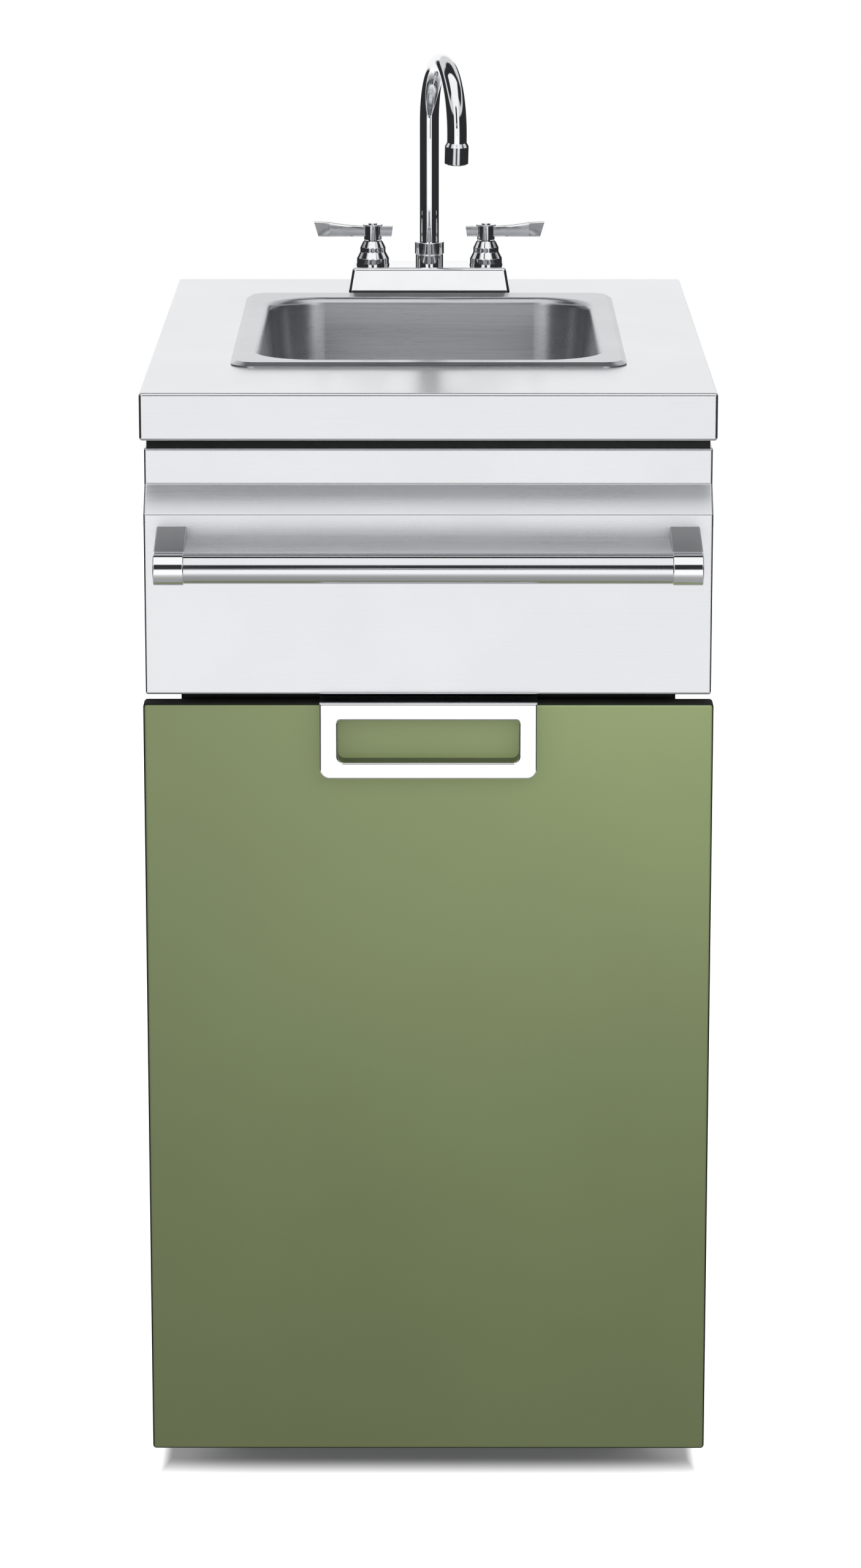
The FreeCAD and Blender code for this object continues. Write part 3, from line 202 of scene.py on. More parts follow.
# %% Helpers for materials
def place_group(tree, group, **values):
    """Group node in a material, its inputs set by name (underscores stand for spaces)."""
    made = tree.nodes.new("ShaderNodeGroup")
    made.node_tree = group
    for name, value in values.items():
        made.inputs[name.replace("_", " ")].default_value = value
    return made.outputs


def new_finish(name, **sockets):
    """Material with a Principled shader whose constant sockets are set directly."""
    material = bpy.data.materials.new(name)
    material.use_nodes = True
    shader = material.node_tree.nodes["Principled BSDF"]
    for socket, value in sockets.items():
        shader.inputs[socket.replace("_", " ")].default_value = value
    return material, material.node_tree, shader


def relief(tree, shader, height, distance):
    """Bump on the shader's normal; chained after a bump that is already there."""
    sockets = {"Height": height, "Distance": distance, "Strength": 1.0}
    if shader.inputs["Normal"].is_linked:
        sockets["Normal"] = shader.inputs["Normal"].links[0].from_socket
    tree.links.new(add(tree, "Bump", sockets).outputs[0], shader.inputs["Normal"])


def tone(colour, factor):
    """Colour made lighter or darker, with full alpha."""
    return tuple(min(1.0, channel * factor) for channel in colour[:3]) + (1.0,)


# %% [markdown]
# Stainless sheet is used for the worktop, the fascia, the sink and the cabinet body. All share one
# recipe: a pale metal whose streaks shift colour and roughness a little and raise a very low relief.
# What differs is the grain direction, the roughness and how strong the streaks are. A box can mark out a
# zone of another tone, painted in as light or shade: the drawn bowl of the sink is painted a shade
# brighter than its ledge, as painted reflection of the light that gathers in the bowl, and the frame
# behind the gap over the door is painted near black, as the painted shade inside that deep gap, so that
# the gap reads as a dark line.

# %% Stainless steel finishes
ALONG_X = (7.0, 2300.0, 2300.0)
ALONG_Y = (2300.0, 7.0, 2300.0)
ALONG_SINK = (14.0, 1000.0, 1000.0)
BAND_SHARE = 0.35
PATCH_ROUGH = 0.03
ZONE_FADE = 0.006


def brushed_steel(name, colour, rough, grain, streak_rough=0.05, streak_tone=0.035, height=0.000004,
                  zone=None):
    """Metal whose colour and roughness follow the brushed streaks and the hazy patches. A zone, given by
    two corners and a factor, is brighter or darker by that factor."""
    material, tree, shader = new_finish(name, Metallic=1.0)
    streak, band = place_group(tree, brushed_grain, Stretch=grain)
    patch, waviness = place_group(tree, haze, Patch_Size=0.11)
    mixed = calc(tree, "MULTIPLY", streak, 1.0 - BAND_SHARE)
    mixed = calc(tree, "MULTIPLY_ADD", band, BAND_SHARE, mixed)
    shade = blend(tree, mixed, tone(colour, 1.0 - streak_tone), tone(colour, 1.0 + streak_tone))
    if zone:
        low, high, factor = zone
        inside, = place_group(tree, box_field, Low_Corner=low, High_Corner=high, Width=ZONE_FADE)
        dull, bright = (tone(colour, factor * (1.0 + shift)) for shift in (-streak_tone, streak_tone))
        shade = blend(tree, inside, shade, blend(tree, mixed, dull, bright))
    tree.links.new(shade, shader.inputs["Base Color"])
    level = calc(tree, "MULTIPLY_ADD", mixed, streak_rough, rough - streak_rough / 2)
    level = calc(tree, "MULTIPLY_ADD", patch, PATCH_ROUGH, level)
    tree.links.new(level, shader.inputs["Roughness"])
    relief(tree, shader, waviness, distance=0.00008)
    relief(tree, shader, streak, distance=height)
    return material


LEDGE_DEPTH = np.array([0.0, 0.0, 0.007])
BOWL_PAINTED_SHEEN = 1.1
GAP_MARGIN = 0.015
GAP_PAINTED_SHADE = 0.05

sink_low, sink_high = (np.array(corner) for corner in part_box("sink"))
# Painted reflection: the bowl is painted a tenth brighter than its ledge, standing in for the light that
# gathers in it.
bowl = (sink_low, sink_high - LEDGE_DEPTH, BOWL_PAINTED_SHEEN)
header_low, header_high = (np.array(corner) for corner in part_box("header_panel"))
gap_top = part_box("apron")[0][2]
gap_high = np.array([header_high[0], header_low[1], gap_top]) + GAP_MARGIN
# Painted shade: the frame behind the gap over the door is painted near black, as the shade inside that
# gap.
gap = (header_low - GAP_MARGIN, gap_high, GAP_PAINTED_SHADE)
finishes = {
    "worktop_steel": brushed_steel("worktop_steel", (0.78, 0.79, 0.81), rough=0.22, grain=ALONG_X),
    "fascia_steel": brushed_steel("fascia_steel", (0.82, 0.83, 0.85), rough=0.27, grain=ALONG_X),
    "body_steel": brushed_steel("body_steel", (0.68, 0.69, 0.71), rough=0.36, grain=ALONG_Y,
                                streak_tone=0.06, zone=gap),
    "sink_steel": brushed_steel("sink_steel", (0.61, 0.62, 0.64), rough=0.27, grain=ALONG_SINK,
                                streak_tone=0.10, zone=bowl),
    "bar_steel": brushed_steel("bar_steel", (0.80, 0.81, 0.83), rough=0.10, grain=ALONG_X,
                               height=0.000001),
}
print("steel finishes:", ", ".join(finishes))

# %% [markdown]
# The faucet, the brackets and the door pull are mirror bright. A mirror shows its surroundings, so almost
# all of its look comes from the studio, but a trace of polishing haze keeps it from looking like a
# drawing. Three boxes paint shade into the colour: the walls of the pull's finger slot are painted dark
# as the shade of that recess, the arms of the brackets are painted darker as the reflection of the shaded
# underside of the worktop, and a dark line of painted shade runs along the foot of the faucet's base. In
# these boxes the metal is also rougher.

# %% Chrome and polished steel
FRAME_SIDE = 0.0135
FRAME_FACE = 0.0014
FRAME_FOOT = 0.0124
FRAME_HEAD = 0.0130
ARM_FRONT = 0.0115
FOOT_SHADE_HEIGHT = 0.0022
BOX_MARGIN = 0.005
FOOT_SHADE_TONE, SLOT_SHADE_TONE, ARM_SHADE_TONE = 0.1, 0.2, 0.5
DULL_FADE = 0.001
DULL_ROUGH = 0.25
POLISH_ROUGH = 0.03

pull_low, pull_high = (np.array(corner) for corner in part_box("door_pull"))
# Painted shade: the walls of the pull's finger slot are painted dark, as the shade inside that recess.
slot_low = pull_low + np.array([FRAME_SIDE, FRAME_FACE, FRAME_FOOT])
slot_high = pull_high - np.array([FRAME_SIDE, 0.0, FRAME_HEAD])
bracket_low, bracket_high = (np.array(corner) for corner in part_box("left_bar_bracket"))
bar_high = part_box("towel_bar")[1]
# Painted shade: the bracket arms are painted darker, as the reflection of the shaded underside of the
# worktop.
arm_low = np.array([bracket_low[0] - BOX_MARGIN, bar_high[1] - ARM_FRONT, bar_high[2]])
arm_high = np.array([-arm_low[0], bracket_high[1] + BOX_MARGIN, bracket_high[2] + BOX_MARGIN])
foot_low, foot_high = (np.array(corner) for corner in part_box("faucet_base"))
# Painted shade: a near-black line along the foot of the faucet's base, where it meets the worktop.
foot_shade_low = foot_low - BOX_MARGIN
foot_shade_high = np.append(foot_high[:2] + BOX_MARGIN, foot_low[2] + FOOT_SHADE_HEIGHT)


def bright_metal(name, colour, rough, haze_size, shade_boxes):
    """Mirror metal with a slightly uneven polish and an almost flat swirl. In each shade box, given by
    two corners and a factor, shade is painted in: the metal is darker by that factor, and also rougher."""
    material, tree, shader = new_finish(name, Metallic=1.0)
    patch, waviness = place_group(tree, haze, Patch_Size=haze_size)
    shade = blend(tree, patch, tone(colour, 0.97), tone(colour, 1.02))
    level = calc(tree, "MULTIPLY_ADD", patch, POLISH_ROUGH, rough)
    for low, high, factor in shade_boxes:
        inside, = place_group(tree, box_field, Low_Corner=low, High_Corner=high, Width=DULL_FADE)
        shade = blend(tree, inside, shade, tone(colour, factor))
        level = calc(tree, "MULTIPLY_ADD", inside, DULL_ROUGH, level)
    tree.links.new(shade, shader.inputs["Base Color"])
    tree.links.new(level, shader.inputs["Roughness"])
    relief(tree, shader, waviness, distance=0.00004)
    return material


foot_shaded = [(foot_shade_low, foot_shade_high, FOOT_SHADE_TONE)]
pull_and_arm_shade = [(slot_low, slot_high, SLOT_SHADE_TONE), (arm_low, arm_high, ARM_SHADE_TONE)]
finishes["faucet_chrome"] = bright_metal("faucet_chrome", (0.90, 0.91, 0.925), rough=0.02,
                                         haze_size=0.03, shade_boxes=foot_shaded)
finishes["polished_steel"] = bright_metal("polished_steel", (0.94, 0.945, 0.955), rough=0.05,
                                          haze_size=0.04, shade_boxes=pull_and_arm_shade)
print("slot of the pull in metres:", slot_low.round(4), "to", slot_high.round(4))

# %% [markdown]
# The door is a steel pan in a muted green, sprayed to a soft gloss. The pebbled skin breaks up its
# reflections and the colour shifts by a hair over large patches. Only the face is green: where the sheet
# turns back at the edges, shade is painted in as a dull near black, which draws a fine dark line round
# the door.

# %% Green door paint
EDGE_START = 0.0002
EDGE_FULL = 0.0008
FACE_ROUGH = 0.36
EDGE_ROUGH = 0.85
FACE_COAT = 0.25
GLOSS_SPREAD = 0.06


def door_paint(name, colour, edge_shade_colour):
    """Painted sheet with orange peel under a thin clear gloss; behind the door's face the edges carry
    painted shade, a dull near black without gloss.
    """
    material, tree, shader = new_finish(name, Coat_Roughness=0.12)
    patch, waviness = place_group(tree, haze, Patch_Size=0.22)
    height, = place_group(tree, pebble, Grain_Size=0.0028)
    face_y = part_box("door_skin")[0][1]
    place = add(tree, "TexCoord").outputs["Object"]
    depth = add(tree, "SeparateXYZ", {0: place}).outputs["Y"]
    face = between(tree, depth, face_y + EDGE_FULL, face_y + EDGE_START)
    shade = blend(tree, patch, tone(colour, 0.97), tone(colour, 1.04))
    tree.links.new(blend(tree, face, tone(edge_shade_colour, 1.0), shade), shader.inputs["Base Color"])
    tree.links.new(calc(tree, "MULTIPLY", face, FACE_COAT), shader.inputs["Coat Weight"])
    level = calc(tree, "MULTIPLY_ADD", face, FACE_ROUGH - EDGE_ROUGH, EDGE_ROUGH)
    level = calc(tree, "MULTIPLY_ADD", patch, GLOSS_SPREAD, level)
    tree.links.new(level, shader.inputs["Roughness"])
    relief(tree, shader, waviness, distance=0.0008)
    relief(tree, shader, height, distance=0.00003)
    return material


# Painted shade: the door's turned edges are near black, as the shade and dark reflections along its rim.
finishes["green_paint"] = door_paint("green_paint", (0.168, 0.209, 0.089),
                                     edge_shade_colour=(0.008, 0.009, 0.007))
print("paint made:", finishes["green_paint"].name)

# %% [markdown]
# Behind the door are plainer finishes: primer on the door's liner, rubber and moulded plastics. Each
# still has its own pebbled skin and its own gloss, so an open door shows real materials. The rubber of
# the dark strip under the worktop is so dull that it reads as a black gap.

# %% Plastics, rubber and primer
SKIN_ROUGH = 0.1


def moulded(name, colour, rough, grain_size, depth, spread, shine):
    """Moulded or coated surface: pebbled skin, and patches that differ a little in tone and gloss."""
    material, tree, shader = new_finish(name, Specular_IOR_Level=shine)
    patch = place_group(tree, haze, Patch_Size=0.02)["Patch"]
    height, = place_group(tree, pebble, Grain_Size=grain_size)
    shade = blend(tree, patch, tone(colour, 1 - spread), tone(colour, 1 + spread))
    tree.links.new(shade, shader.inputs["Base Color"])
    tree.links.new(calc(tree, "MULTIPLY_ADD", patch, SKIN_ROUGH, rough), shader.inputs["Roughness"])
    relief(tree, shader, height, distance=depth)
    return material


finishes["black_rubber"] = moulded("black_rubber", (0.010, 0.011, 0.010), rough=0.7, grain_size=0.0012,
                                   depth=0.00006, spread=0.2, shine=0.15)
finishes["black_plastic"] = moulded("black_plastic", (0.022, 0.022, 0.023), rough=0.42, grain_size=0.0009,
                                    depth=0.00004, spread=0.15, shine=0.5)
finishes["white_plastic"] = moulded("white_plastic", (0.78, 0.78, 0.75), rough=0.3, grain_size=0.004,
                                    depth=0.00002, spread=0.03, shine=0.5)
finishes["liner_steel"] = moulded("liner_steel", (0.55, 0.56, 0.55), rough=0.48, grain_size=0.0016,
                                  depth=0.00003, spread=0.04, shine=0.5)
print("finishes so far:", len(finishes))

# %% [markdown]
# Hinges, screws and clips are zinc plated, and the faucet's shanks are turned brass. Zinc grows in
# small crystals of slightly different tone, which a Voronoi texture copies, and both metals carry fine
# turning marks round their axis.

# %% Zinc and brass
TURNED = (90.0, 90.0, 2600.0)
CRYSTAL_ROUGH = 0.12
MARK_ROUGH = 0.08


def plated(name, colour, rough, spangle):
    """Small metal part: crystal spangles of slightly different tone over fine turning marks."""
    material, tree, shader = new_finish(name, Metallic=1.0)
    place = add(tree, "TexCoord").outputs["Object"]
    crystal = add(tree, "TexVoronoi", {"Vector": place, "Scale": spangle}).outputs["Color"]
    grey = add(tree, "RGBToBW", {0: crystal}).outputs[0]
    streak = place_group(tree, brushed_grain, Stretch=TURNED)["Streak"]
    tree.links.new(blend(tree, grey, tone(colour, 0.86), tone(colour, 1.1)), shader.inputs["Base Color"])
    level = calc(tree, "MULTIPLY_ADD", streak, MARK_ROUGH, rough)
    level = calc(tree, "MULTIPLY_ADD", grey, CRYSTAL_ROUGH, level)
    tree.links.new(level, shader.inputs["Roughness"])
    relief(tree, shader, streak, distance=0.00002)
    return material


finishes["zinc_steel"] = plated("zinc_steel", (0.58, 0.59, 0.58), rough=0.26, spangle=420.0)
finishes["brass"] = plated("brass", (0.72, 0.52, 0.23), rough=0.22, spangle=260.0)
print("finishes made:", len(finishes))

# %% [markdown]
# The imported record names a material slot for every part, so dressing the model is one loop: each part
# drops the plain material that it came with and takes the finish of its slot.

# %% Give every part its finish
slots = {part["node"]: part["material_slot"] for part in frame["record"]["subparts"]}
for name, piece in frame["nodes"].items():
    piece.data.materials.clear()
    piece.data.materials.append(finishes[slots[name]])
print("parts dressed:", len(frame["nodes"]))

# %% [markdown]
# The small pieces that follow are all round and closed: screw heads, threads and ribbed nuts. Each is a
# grid of points worked out in one go as an array, with rows along a profile and columns round its axis.
# One helper turns such grids into a mesh. It could rely on Blender to find the outside, but the sign of
# the enclosed volume tells it at once for all copies in a grid.

# %% Closed surfaces from grids
MERGE_DISTANCE = 1e-7
SMOOTH_ANGLE = math.radians(32.0)


def full_turn(columns):
    """Angles of evenly spaced columns, once round an axis."""
    return np.linspace(0.0, 2 * np.pi, columns, endpoint=False)


def closed_surface(name, grids, ring):
    """Mesh from grids of points, each shaped (copies, rows, columns, 3). Columns close on themselves.
    Rows close too where ring is true, and otherwise run from pole to pole, with each pole made one
    point. Faces point outwards, by the sign of the volume: the sum of a . (b x c + c x d) over them."""
    points = np.concatenate([grid.reshape(-1, 3) for grid in grids])
    quads = []
    start = 0
    for grid in grids:
        index = start + np.arange(grid[..., 0].size).reshape(grid.shape[:3])
        start += index.size
        beside = np.roll(index, -1, axis=2)
        corners = [index, beside, np.roll(beside, -1, axis=1), np.roll(index, -1, axis=1)]
        faces = np.stack(corners, axis=-1)
        faces = (faces if ring else faces[:, :-1]).reshape(-1, 4)
        a, b, c, d = points[faces].transpose(1, 0, 2)
        volume = (a * (np.cross(b, c) + np.cross(c, d))).sum()
        quads.append(faces if volume > 0 else faces[:, ::-1])
    mesh = bpy.data.meshes.new(name)
    mesh.from_pydata(points.tolist(), [], np.concatenate(quads).tolist())
    merged = bmesh.new()
    merged.from_mesh(mesh)
    bmesh.ops.remove_doubles(merged, verts=merged.verts, dist=MERGE_DISTANCE)
    merged.to_mesh(mesh)
    merged.free()
    mesh.shade_smooth()
    mesh.set_sharp_from_angle(angle=SMOOTH_ANGLE)
    return mesh


def add_piece(mesh, body, slot, *stands_for):
    """Object for a finished mesh that rides on a body and may stand for parts of the model."""
    piece = bpy.data.objects.new(mesh.name, mesh)
    bpy.context.scene.collection.objects.link(piece)
    mesh.materials.append(finishes[slot])
    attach(piece, body)
    if stands_for:
        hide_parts(*stands_for)
    print(mesh.name, "rides on", body, "with", len(mesh.polygons), "faces")


# %% [markdown]
# Pan-head screws with a cross recess hold the hinge leaves and the back panel. A head could be cut from
# a turned dome with a cross-shaped tool, but a grid does it without cutting: the first rings swell and
# shrink four times round the axis and so draw the recess, and the outer rings are plain circles.

# %% Screw heads
HEAD_COLUMNS = 32
HEAD_TURN = 2.4


def screw_heads(name, seats, outward, radius, height):
    """Heads on a list of seats. Rows run from the recess floor over the dome to the foot. The edge of
    the recess has radius r = R (0.12 + 0.38 |cos 2a| ^ 5) and height h (1 - 0.3 (r / R) ^ 2), and the
    rings outside it step down to the foot. Each head is turned on from the one before."""
    angle = full_turn(HEAD_COLUMNS)
    lobe = 0.12 + 0.38 * np.abs(np.cos(2 * angle)) ** 5
    plain = np.ones_like(angle)
    rings = [0 * plain, 0.8 * lobe, lobe, 0.7 * plain, 0.92 * plain, plain, plain, 0 * plain]
    reach = radius * np.stack(rings)
    dome = [0.3 * plain, 0.3 * plain, 1 - 0.3 * lobe ** 2, 0.85 * plain, 0.68 * plain, 0.4 * plain]
    lift = height * np.stack(dome + [-0.1 * plain, -0.1 * plain])
    axis = np.array(outward, dtype=float)
    first = np.roll(axis, 1)
    second = np.cross(axis, first)
    turn = HEAD_TURN * np.arange(len(seats))[:, None, None] + angle
    around = np.cos(turn)[..., None] * first + np.sin(turn)[..., None] * second
    grid = np.array(seats)[:, None, None, :] + reach[None, :, :, None] * around
    return closed_surface(name, [grid + lift[None, :, :, None] * axis], ring=False)


HEAD_RADIUS = 0.0032
HEAD_HEIGHT = 0.0013
LEAF_THICKNESS = 0.002
LEAF_HALF_HEIGHT = 0.033
LEAF_SCREWS = [(-0.006, 0.022), (-0.020, 0.0), (-0.006, -0.022)]

leaf_low, leaf_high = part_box("cabinet_leaves")
leaf_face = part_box("left_side_panel")[0][0] - LEAF_THICKNESS
hinge_heights = [leaf_low[2] + LEAF_HALF_HEIGHT, leaf_high[2] - LEAF_HALF_HEIGHT]
leaf_holes = [(along, z + up) for z in hinge_heights for along, up in LEAF_SCREWS]
cabinet_seats = [(leaf_face, leaf_high[1] + along, z) for along, z in leaf_holes]
cabinet_heads = screw_heads("cabinet_hinge_screws", cabinet_seats, (-1, 0, 0), HEAD_RADIUS, HEAD_HEIGHT)
add_piece(cabinet_heads, "cabinet", "zinc_steel")

door_leaf_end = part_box("door_leaves")[1][0]
door_leaf_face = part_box("door_liner")[1][1] + LEAF_THICKNESS
door_seats = [(door_leaf_end + along, door_leaf_face, z) for along, z in leaf_holes]
door_heads = screw_heads("door_hinge_screws", door_seats, (0, 1, 0), HEAD_RADIUS, HEAD_HEIGHT)
add_piece(door_heads, "door", "zinc_steel")

# %% [markdown]
# The back panel is a flat sheet, screwed to the flanges of both side panels and to the edges of the
# floor and the rear rail. The screws stand in even rows a little way in from the edges.

# %% Back panel screws
EDGE_IN = 0.010
ROW_END, ROW_COUNT = 0.030, 7
COLUMN_END, COLUMN_COUNT = 0.075, 3
PANEL_HEAD_RADIUS = 0.0038
PANEL_HEAD_HEIGHT = 0.0018

back_low, back_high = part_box("back_panel")
sides = (back_low[0] + EDGE_IN, back_high[0] - EDGE_IN)
ends = (back_low[2] + EDGE_IN, back_high[2] - EDGE_IN)
rows = np.linspace(back_low[2] + ROW_END, back_high[2] - ROW_END, ROW_COUNT)
columns = np.linspace(back_low[0] + COLUMN_END, back_high[0] - COLUMN_END, COLUMN_COUNT)
back_seats = [(x, back_high[1], z) for x in sides for z in rows]
back_seats += [(x, back_high[1], z) for x in columns for z in ends]
back_heads = screw_heads("back_panel_screws", back_seats, (0, 1, 0), PANEL_HEAD_RADIUS, PANEL_HEAD_HEIGHT)
add_piece(back_heads, "cabinet", "zinc_steel")

# %% [markdown]
# A levelling foot is a plastic pad on a threaded stem. The stem's thread could be a bump in its
# material, but the feet stand in the open under the cabinet, so the thread is real: the radius rises
# and falls once per pitch along the stem, and the wave shifts by one pitch in a turn round it. The pad
# has ribs round its rim for the fingers that turn it.

# %% Threads and levelling feet
THREAD_STEPS = 6


def thread_radius(angle, along, pitch, crest, depth):
    """Radius of a thread: the root plus depth times a wave that moves on by one pitch in a turn. The wave
    is 1.6 t - 0.3 for a triangle wave t, cut off at 0 and 1, so that root and crest are flat. It runs
    out to the plain root over the first and last pitch."""
    phase = along / pitch - angle / (2 * np.pi)
    wave = np.clip(1.6 * (1 - np.abs(2 * (phase % 1.0) - 1)) - 0.3, 0.0, 1.0)
    run_out = np.clip(np.minimum(along - along.min(), along.max() - along) / pitch, 0.0, 1.0)
    return crest - depth + depth * wave * run_out


def round_grid(radius, angle, height, centre):
    """Grid of points from radius and height over rows and columns, about an upright axis."""
    level = np.broadcast_to(height, radius.shape)
    points = np.stack([radius * np.cos(angle), radius * np.sin(angle), level], axis=-1)
    return (points + np.array(centre))[None]


STEM_RADIUS = 0.005
STEM_PITCH = 0.0015
STEM_DEPTH = 0.0006
STEM_COLUMNS = 20
STEM_START = 0.9
PAD_HEIGHT = 0.011
PAD_RIBS = 28
PAD_RIM = 0.95
PAD_PROFILE = np.array([(0, 0), (0.89, 0), (0.96, 0.06), (1, 0.2),
                        (1, 0.76), (0.97, 0.9), (0.9, 1), (0, 1)])


def levelling_foot(node):
    """Pad and stem of one foot. The pad's rim has radius R (1 - 0.03 cos^2 (n a / 2)) for n ribs."""
    low, high = (np.array(corner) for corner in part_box(node))
    centre = np.append((low[:2] + high[:2]) / 2, 0.0)
    rim = full_turn(6 * PAD_RIBS)[None, :]
    ribs = 1 - 0.03 * np.cos(PAD_RIBS * rim / 2) ** 2
    reach = (high[0] - low[0]) / 2 * PAD_PROFILE[:, :1]
    reach = np.where(PAD_PROFILE[:, :1] > PAD_RIM, reach * ribs, reach * np.ones_like(ribs))
    pad = round_grid(reach, rim, PAD_HEIGHT * PAD_PROFILE[:, 1:], centre)
    around = full_turn(STEM_COLUMNS)[None, :]
    along = np.arange(STEM_START * PAD_HEIGHT, high[2], STEM_PITCH / THREAD_STEPS)[:, None]
    stem = thread_radius(around, along, STEM_PITCH, STEM_RADIUS, STEM_DEPTH)
    stem = np.concatenate([0 * stem[:1], stem, 0 * stem[:1]])
    along = np.concatenate([along[:1], along, along[-1:]])
    stem = round_grid(stem, around, along, centre)
    return closed_surface(node.replace("_foot", "_levelling_foot"), [pad, stem], ring=False)


for foot in ("front_left_foot", "front_right_foot", "rear_left_foot", "rear_right_foot"):
    add_piece(levelling_foot(foot), foot + "_body", "black_plastic", foot)

# %% [markdown]
# The faucet is held by two threaded brass tubes that come down through the worktop, and the supply
# hoses screw on to their ends. The same kind of thread goes round them, a little coarser. A tube has an
# inner wall as well, so its rows go up the outside, in over the top and down the bore, and close into a
# ring.

# %% Threaded inlet shanks
SHANK_BORE = 0.006
SHANK_PITCH = 0.0018
SHANK_DEPTH = 0.0009
SHANK_COLUMNS = 32
INLET_LENGTH = 0.024
INLET_STEP = 0.00025

shank_low, shank_high = (np.array(corner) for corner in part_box("inlet_shanks"))
shank_radius = (shank_high[1] - shank_low[1]) / 2
around = full_turn(SHANK_COLUMNS)[None, :]
threaded = np.arange(shank_low[2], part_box("countertop")[1][2], SHANK_PITCH / THREAD_STEPS)[:, None]
crest = shank_radius - INLET_STEP * (threaded < shank_low[2] + INLET_LENGTH)
wall = thread_radius(around, threaded, SHANK_PITCH, crest, SHANK_DEPTH)
plain = np.ones_like(around)
shank_rows = [SHANK_BORE * plain, wall, shank_radius * plain, shank_radius * plain, SHANK_BORE * plain]
shank_reach = np.concatenate(shank_rows)
shank_top = shank_high[2]
shank_heights = np.concatenate([threaded[:1], threaded, threaded[-1:], [[shank_top], [shank_top]]])
shank_y = (shank_low[1] + shank_high[1]) / 2
shank_x = shank_high[0] - shank_radius
shanks = [round_grid(shank_reach, around, shank_heights, (x, shank_y, 0.0)) for x in (-shank_x, shank_x)]
add_piece(closed_surface("threaded_shanks", shanks, ring=True), "cabinet", "brass", "inlet_shanks")

# %% [markdown]
# Slip nuts clamp the joints of the trap and are tightened by hand, so they have ribs all round. The
# profile is a closed ring again, and its outer rows dip in between the ribs.

# %% Ribbed slip nuts
NUT_RIBS = 18
NUT_WALL = 0.005
NUT_DROP = 0.016
NUT_RISE = 0.004
NUT_SHOULDER = 0.0015
COLLAR_HALF = 0.010
CHAMFER = 0.001
RIB_DEPTH = 0.001
SAME_RADIUS = 1e-6


def ribbed_ring(profile, outer, centre):
    """Nut from a closed profile of (radius, height) rows; rows at the outer radius dip by the rib depth
    times cos^4 (n a / 2) for n ribs."""
    angle = full_turn(8 * NUT_RIBS)[None, :]
    reach, height = np.array(profile)[:, :1], np.array(profile)[:, 1:]
    dip = RIB_DEPTH * np.cos(NUT_RIBS * angle / 2) ** 4
    return round_grid(reach - np.where(reach > outer - SAME_RADIUS, dip, 0 * dip), angle, height, centre)


tail_low, tail_high = (np.array(corner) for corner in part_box("tailpiece"))
bend_low, bend_high = (np.array(corner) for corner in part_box("trap_bend"))
pipe_radius = (tail_high[0] - tail_low[0]) / 2
socket_radius = (bend_high[0] - bend_low[0]) / 2
outer = socket_radius + NUT_WALL
nut_profile = [(socket_radius, -NUT_DROP), (outer - CHAMFER, -NUT_DROP), (outer, CHAMFER - NUT_DROP),
               (outer, NUT_RISE - NUT_SHOULDER), (outer - NUT_SHOULDER, NUT_RISE),
               (pipe_radius, NUT_RISE), (pipe_radius, 0.0), (socket_radius, 0.0)]
tail_y = (tail_low[1] + tail_high[1]) / 2
bend_y = bend_high[1] - socket_radius
nuts = [ribbed_ring(nut_profile, outer, (0.0, y, bend_high[2])) for y in (tail_y, bend_y)]
collar = pipe_radius + NUT_WALL
collar_profile = [(pipe_radius, -COLLAR_HALF), (collar - CHAMFER, -COLLAR_HALF),
                  (collar, CHAMFER - COLLAR_HALF), (collar, COLLAR_HALF - CHAMFER),
                  (collar - CHAMFER, COLLAR_HALF), (pipe_radius, COLLAR_HALF)]
nuts.append(ribbed_ring(collar_profile, collar, (0.0, tail_y, tail_high[2])))
add_piece(closed_surface("ribbed_slip_nuts", nuts, ring=True), "cabinet", "white_plastic", "slip_nuts")

# %% [markdown]
# The camera stands about four metres in front of the cabinet, one and a half metres up, and looks down
# by about thirteen and a half degrees. A long lens from that distance keeps the upright edges almost
# parallel, as in a catalogue picture.

# %% Camera
lens = bpy.data.cameras.new("camera")
lens.lens = 116.0
lens.sensor_width = 36.0
camera = bpy.data.objects.new("camera", lens)
camera.location = (0.006, -4.2412, 1.5496)
camera.rotation_euler = (math.radians(76.431), 0.0, math.radians(0.062))
bpy.context.scene.collection.objects.link(camera)
bpy.context.scene.camera = camera
print("camera at", tuple(round(v, 4) for v in camera.location))

# %% [markdown]
# The studio is a pale floor, a white backdrop and soft lamps. Polished metal needs something dark to
# show its shape, so the surroundings that metal reflects are white in front, overhead and behind, and
# dark to both sides, as black cards round a table would make them. Higher up a light grey band runs
# round, open only on the upper part of both sides. In front is a dark camera stand with a small white
# card on it. The camera itself sees plain white.

# %% Studio world
WHITE = (1.0, 1.0, 1.0, 1.0)
DARK_CARD = (0.028, 0.028, 0.03, 1.0)
SOFT_LIGHT = (0.44, 0.44, 0.444, 1.0)
BAND_GREY = 0.7
LEAST_RISE = 0.05


def sector(tree, *limits):
    """Area of directions: the product of one soft step for each (value, low, high). A step rises from
    low to high, or falls where low is the larger one."""
    steps = [between(tree, *limit) for limit in limits]
    share = steps[0]
    for step in steps[1:]:
        share = calc(tree, "MULTIPLY", share, step)
    return share


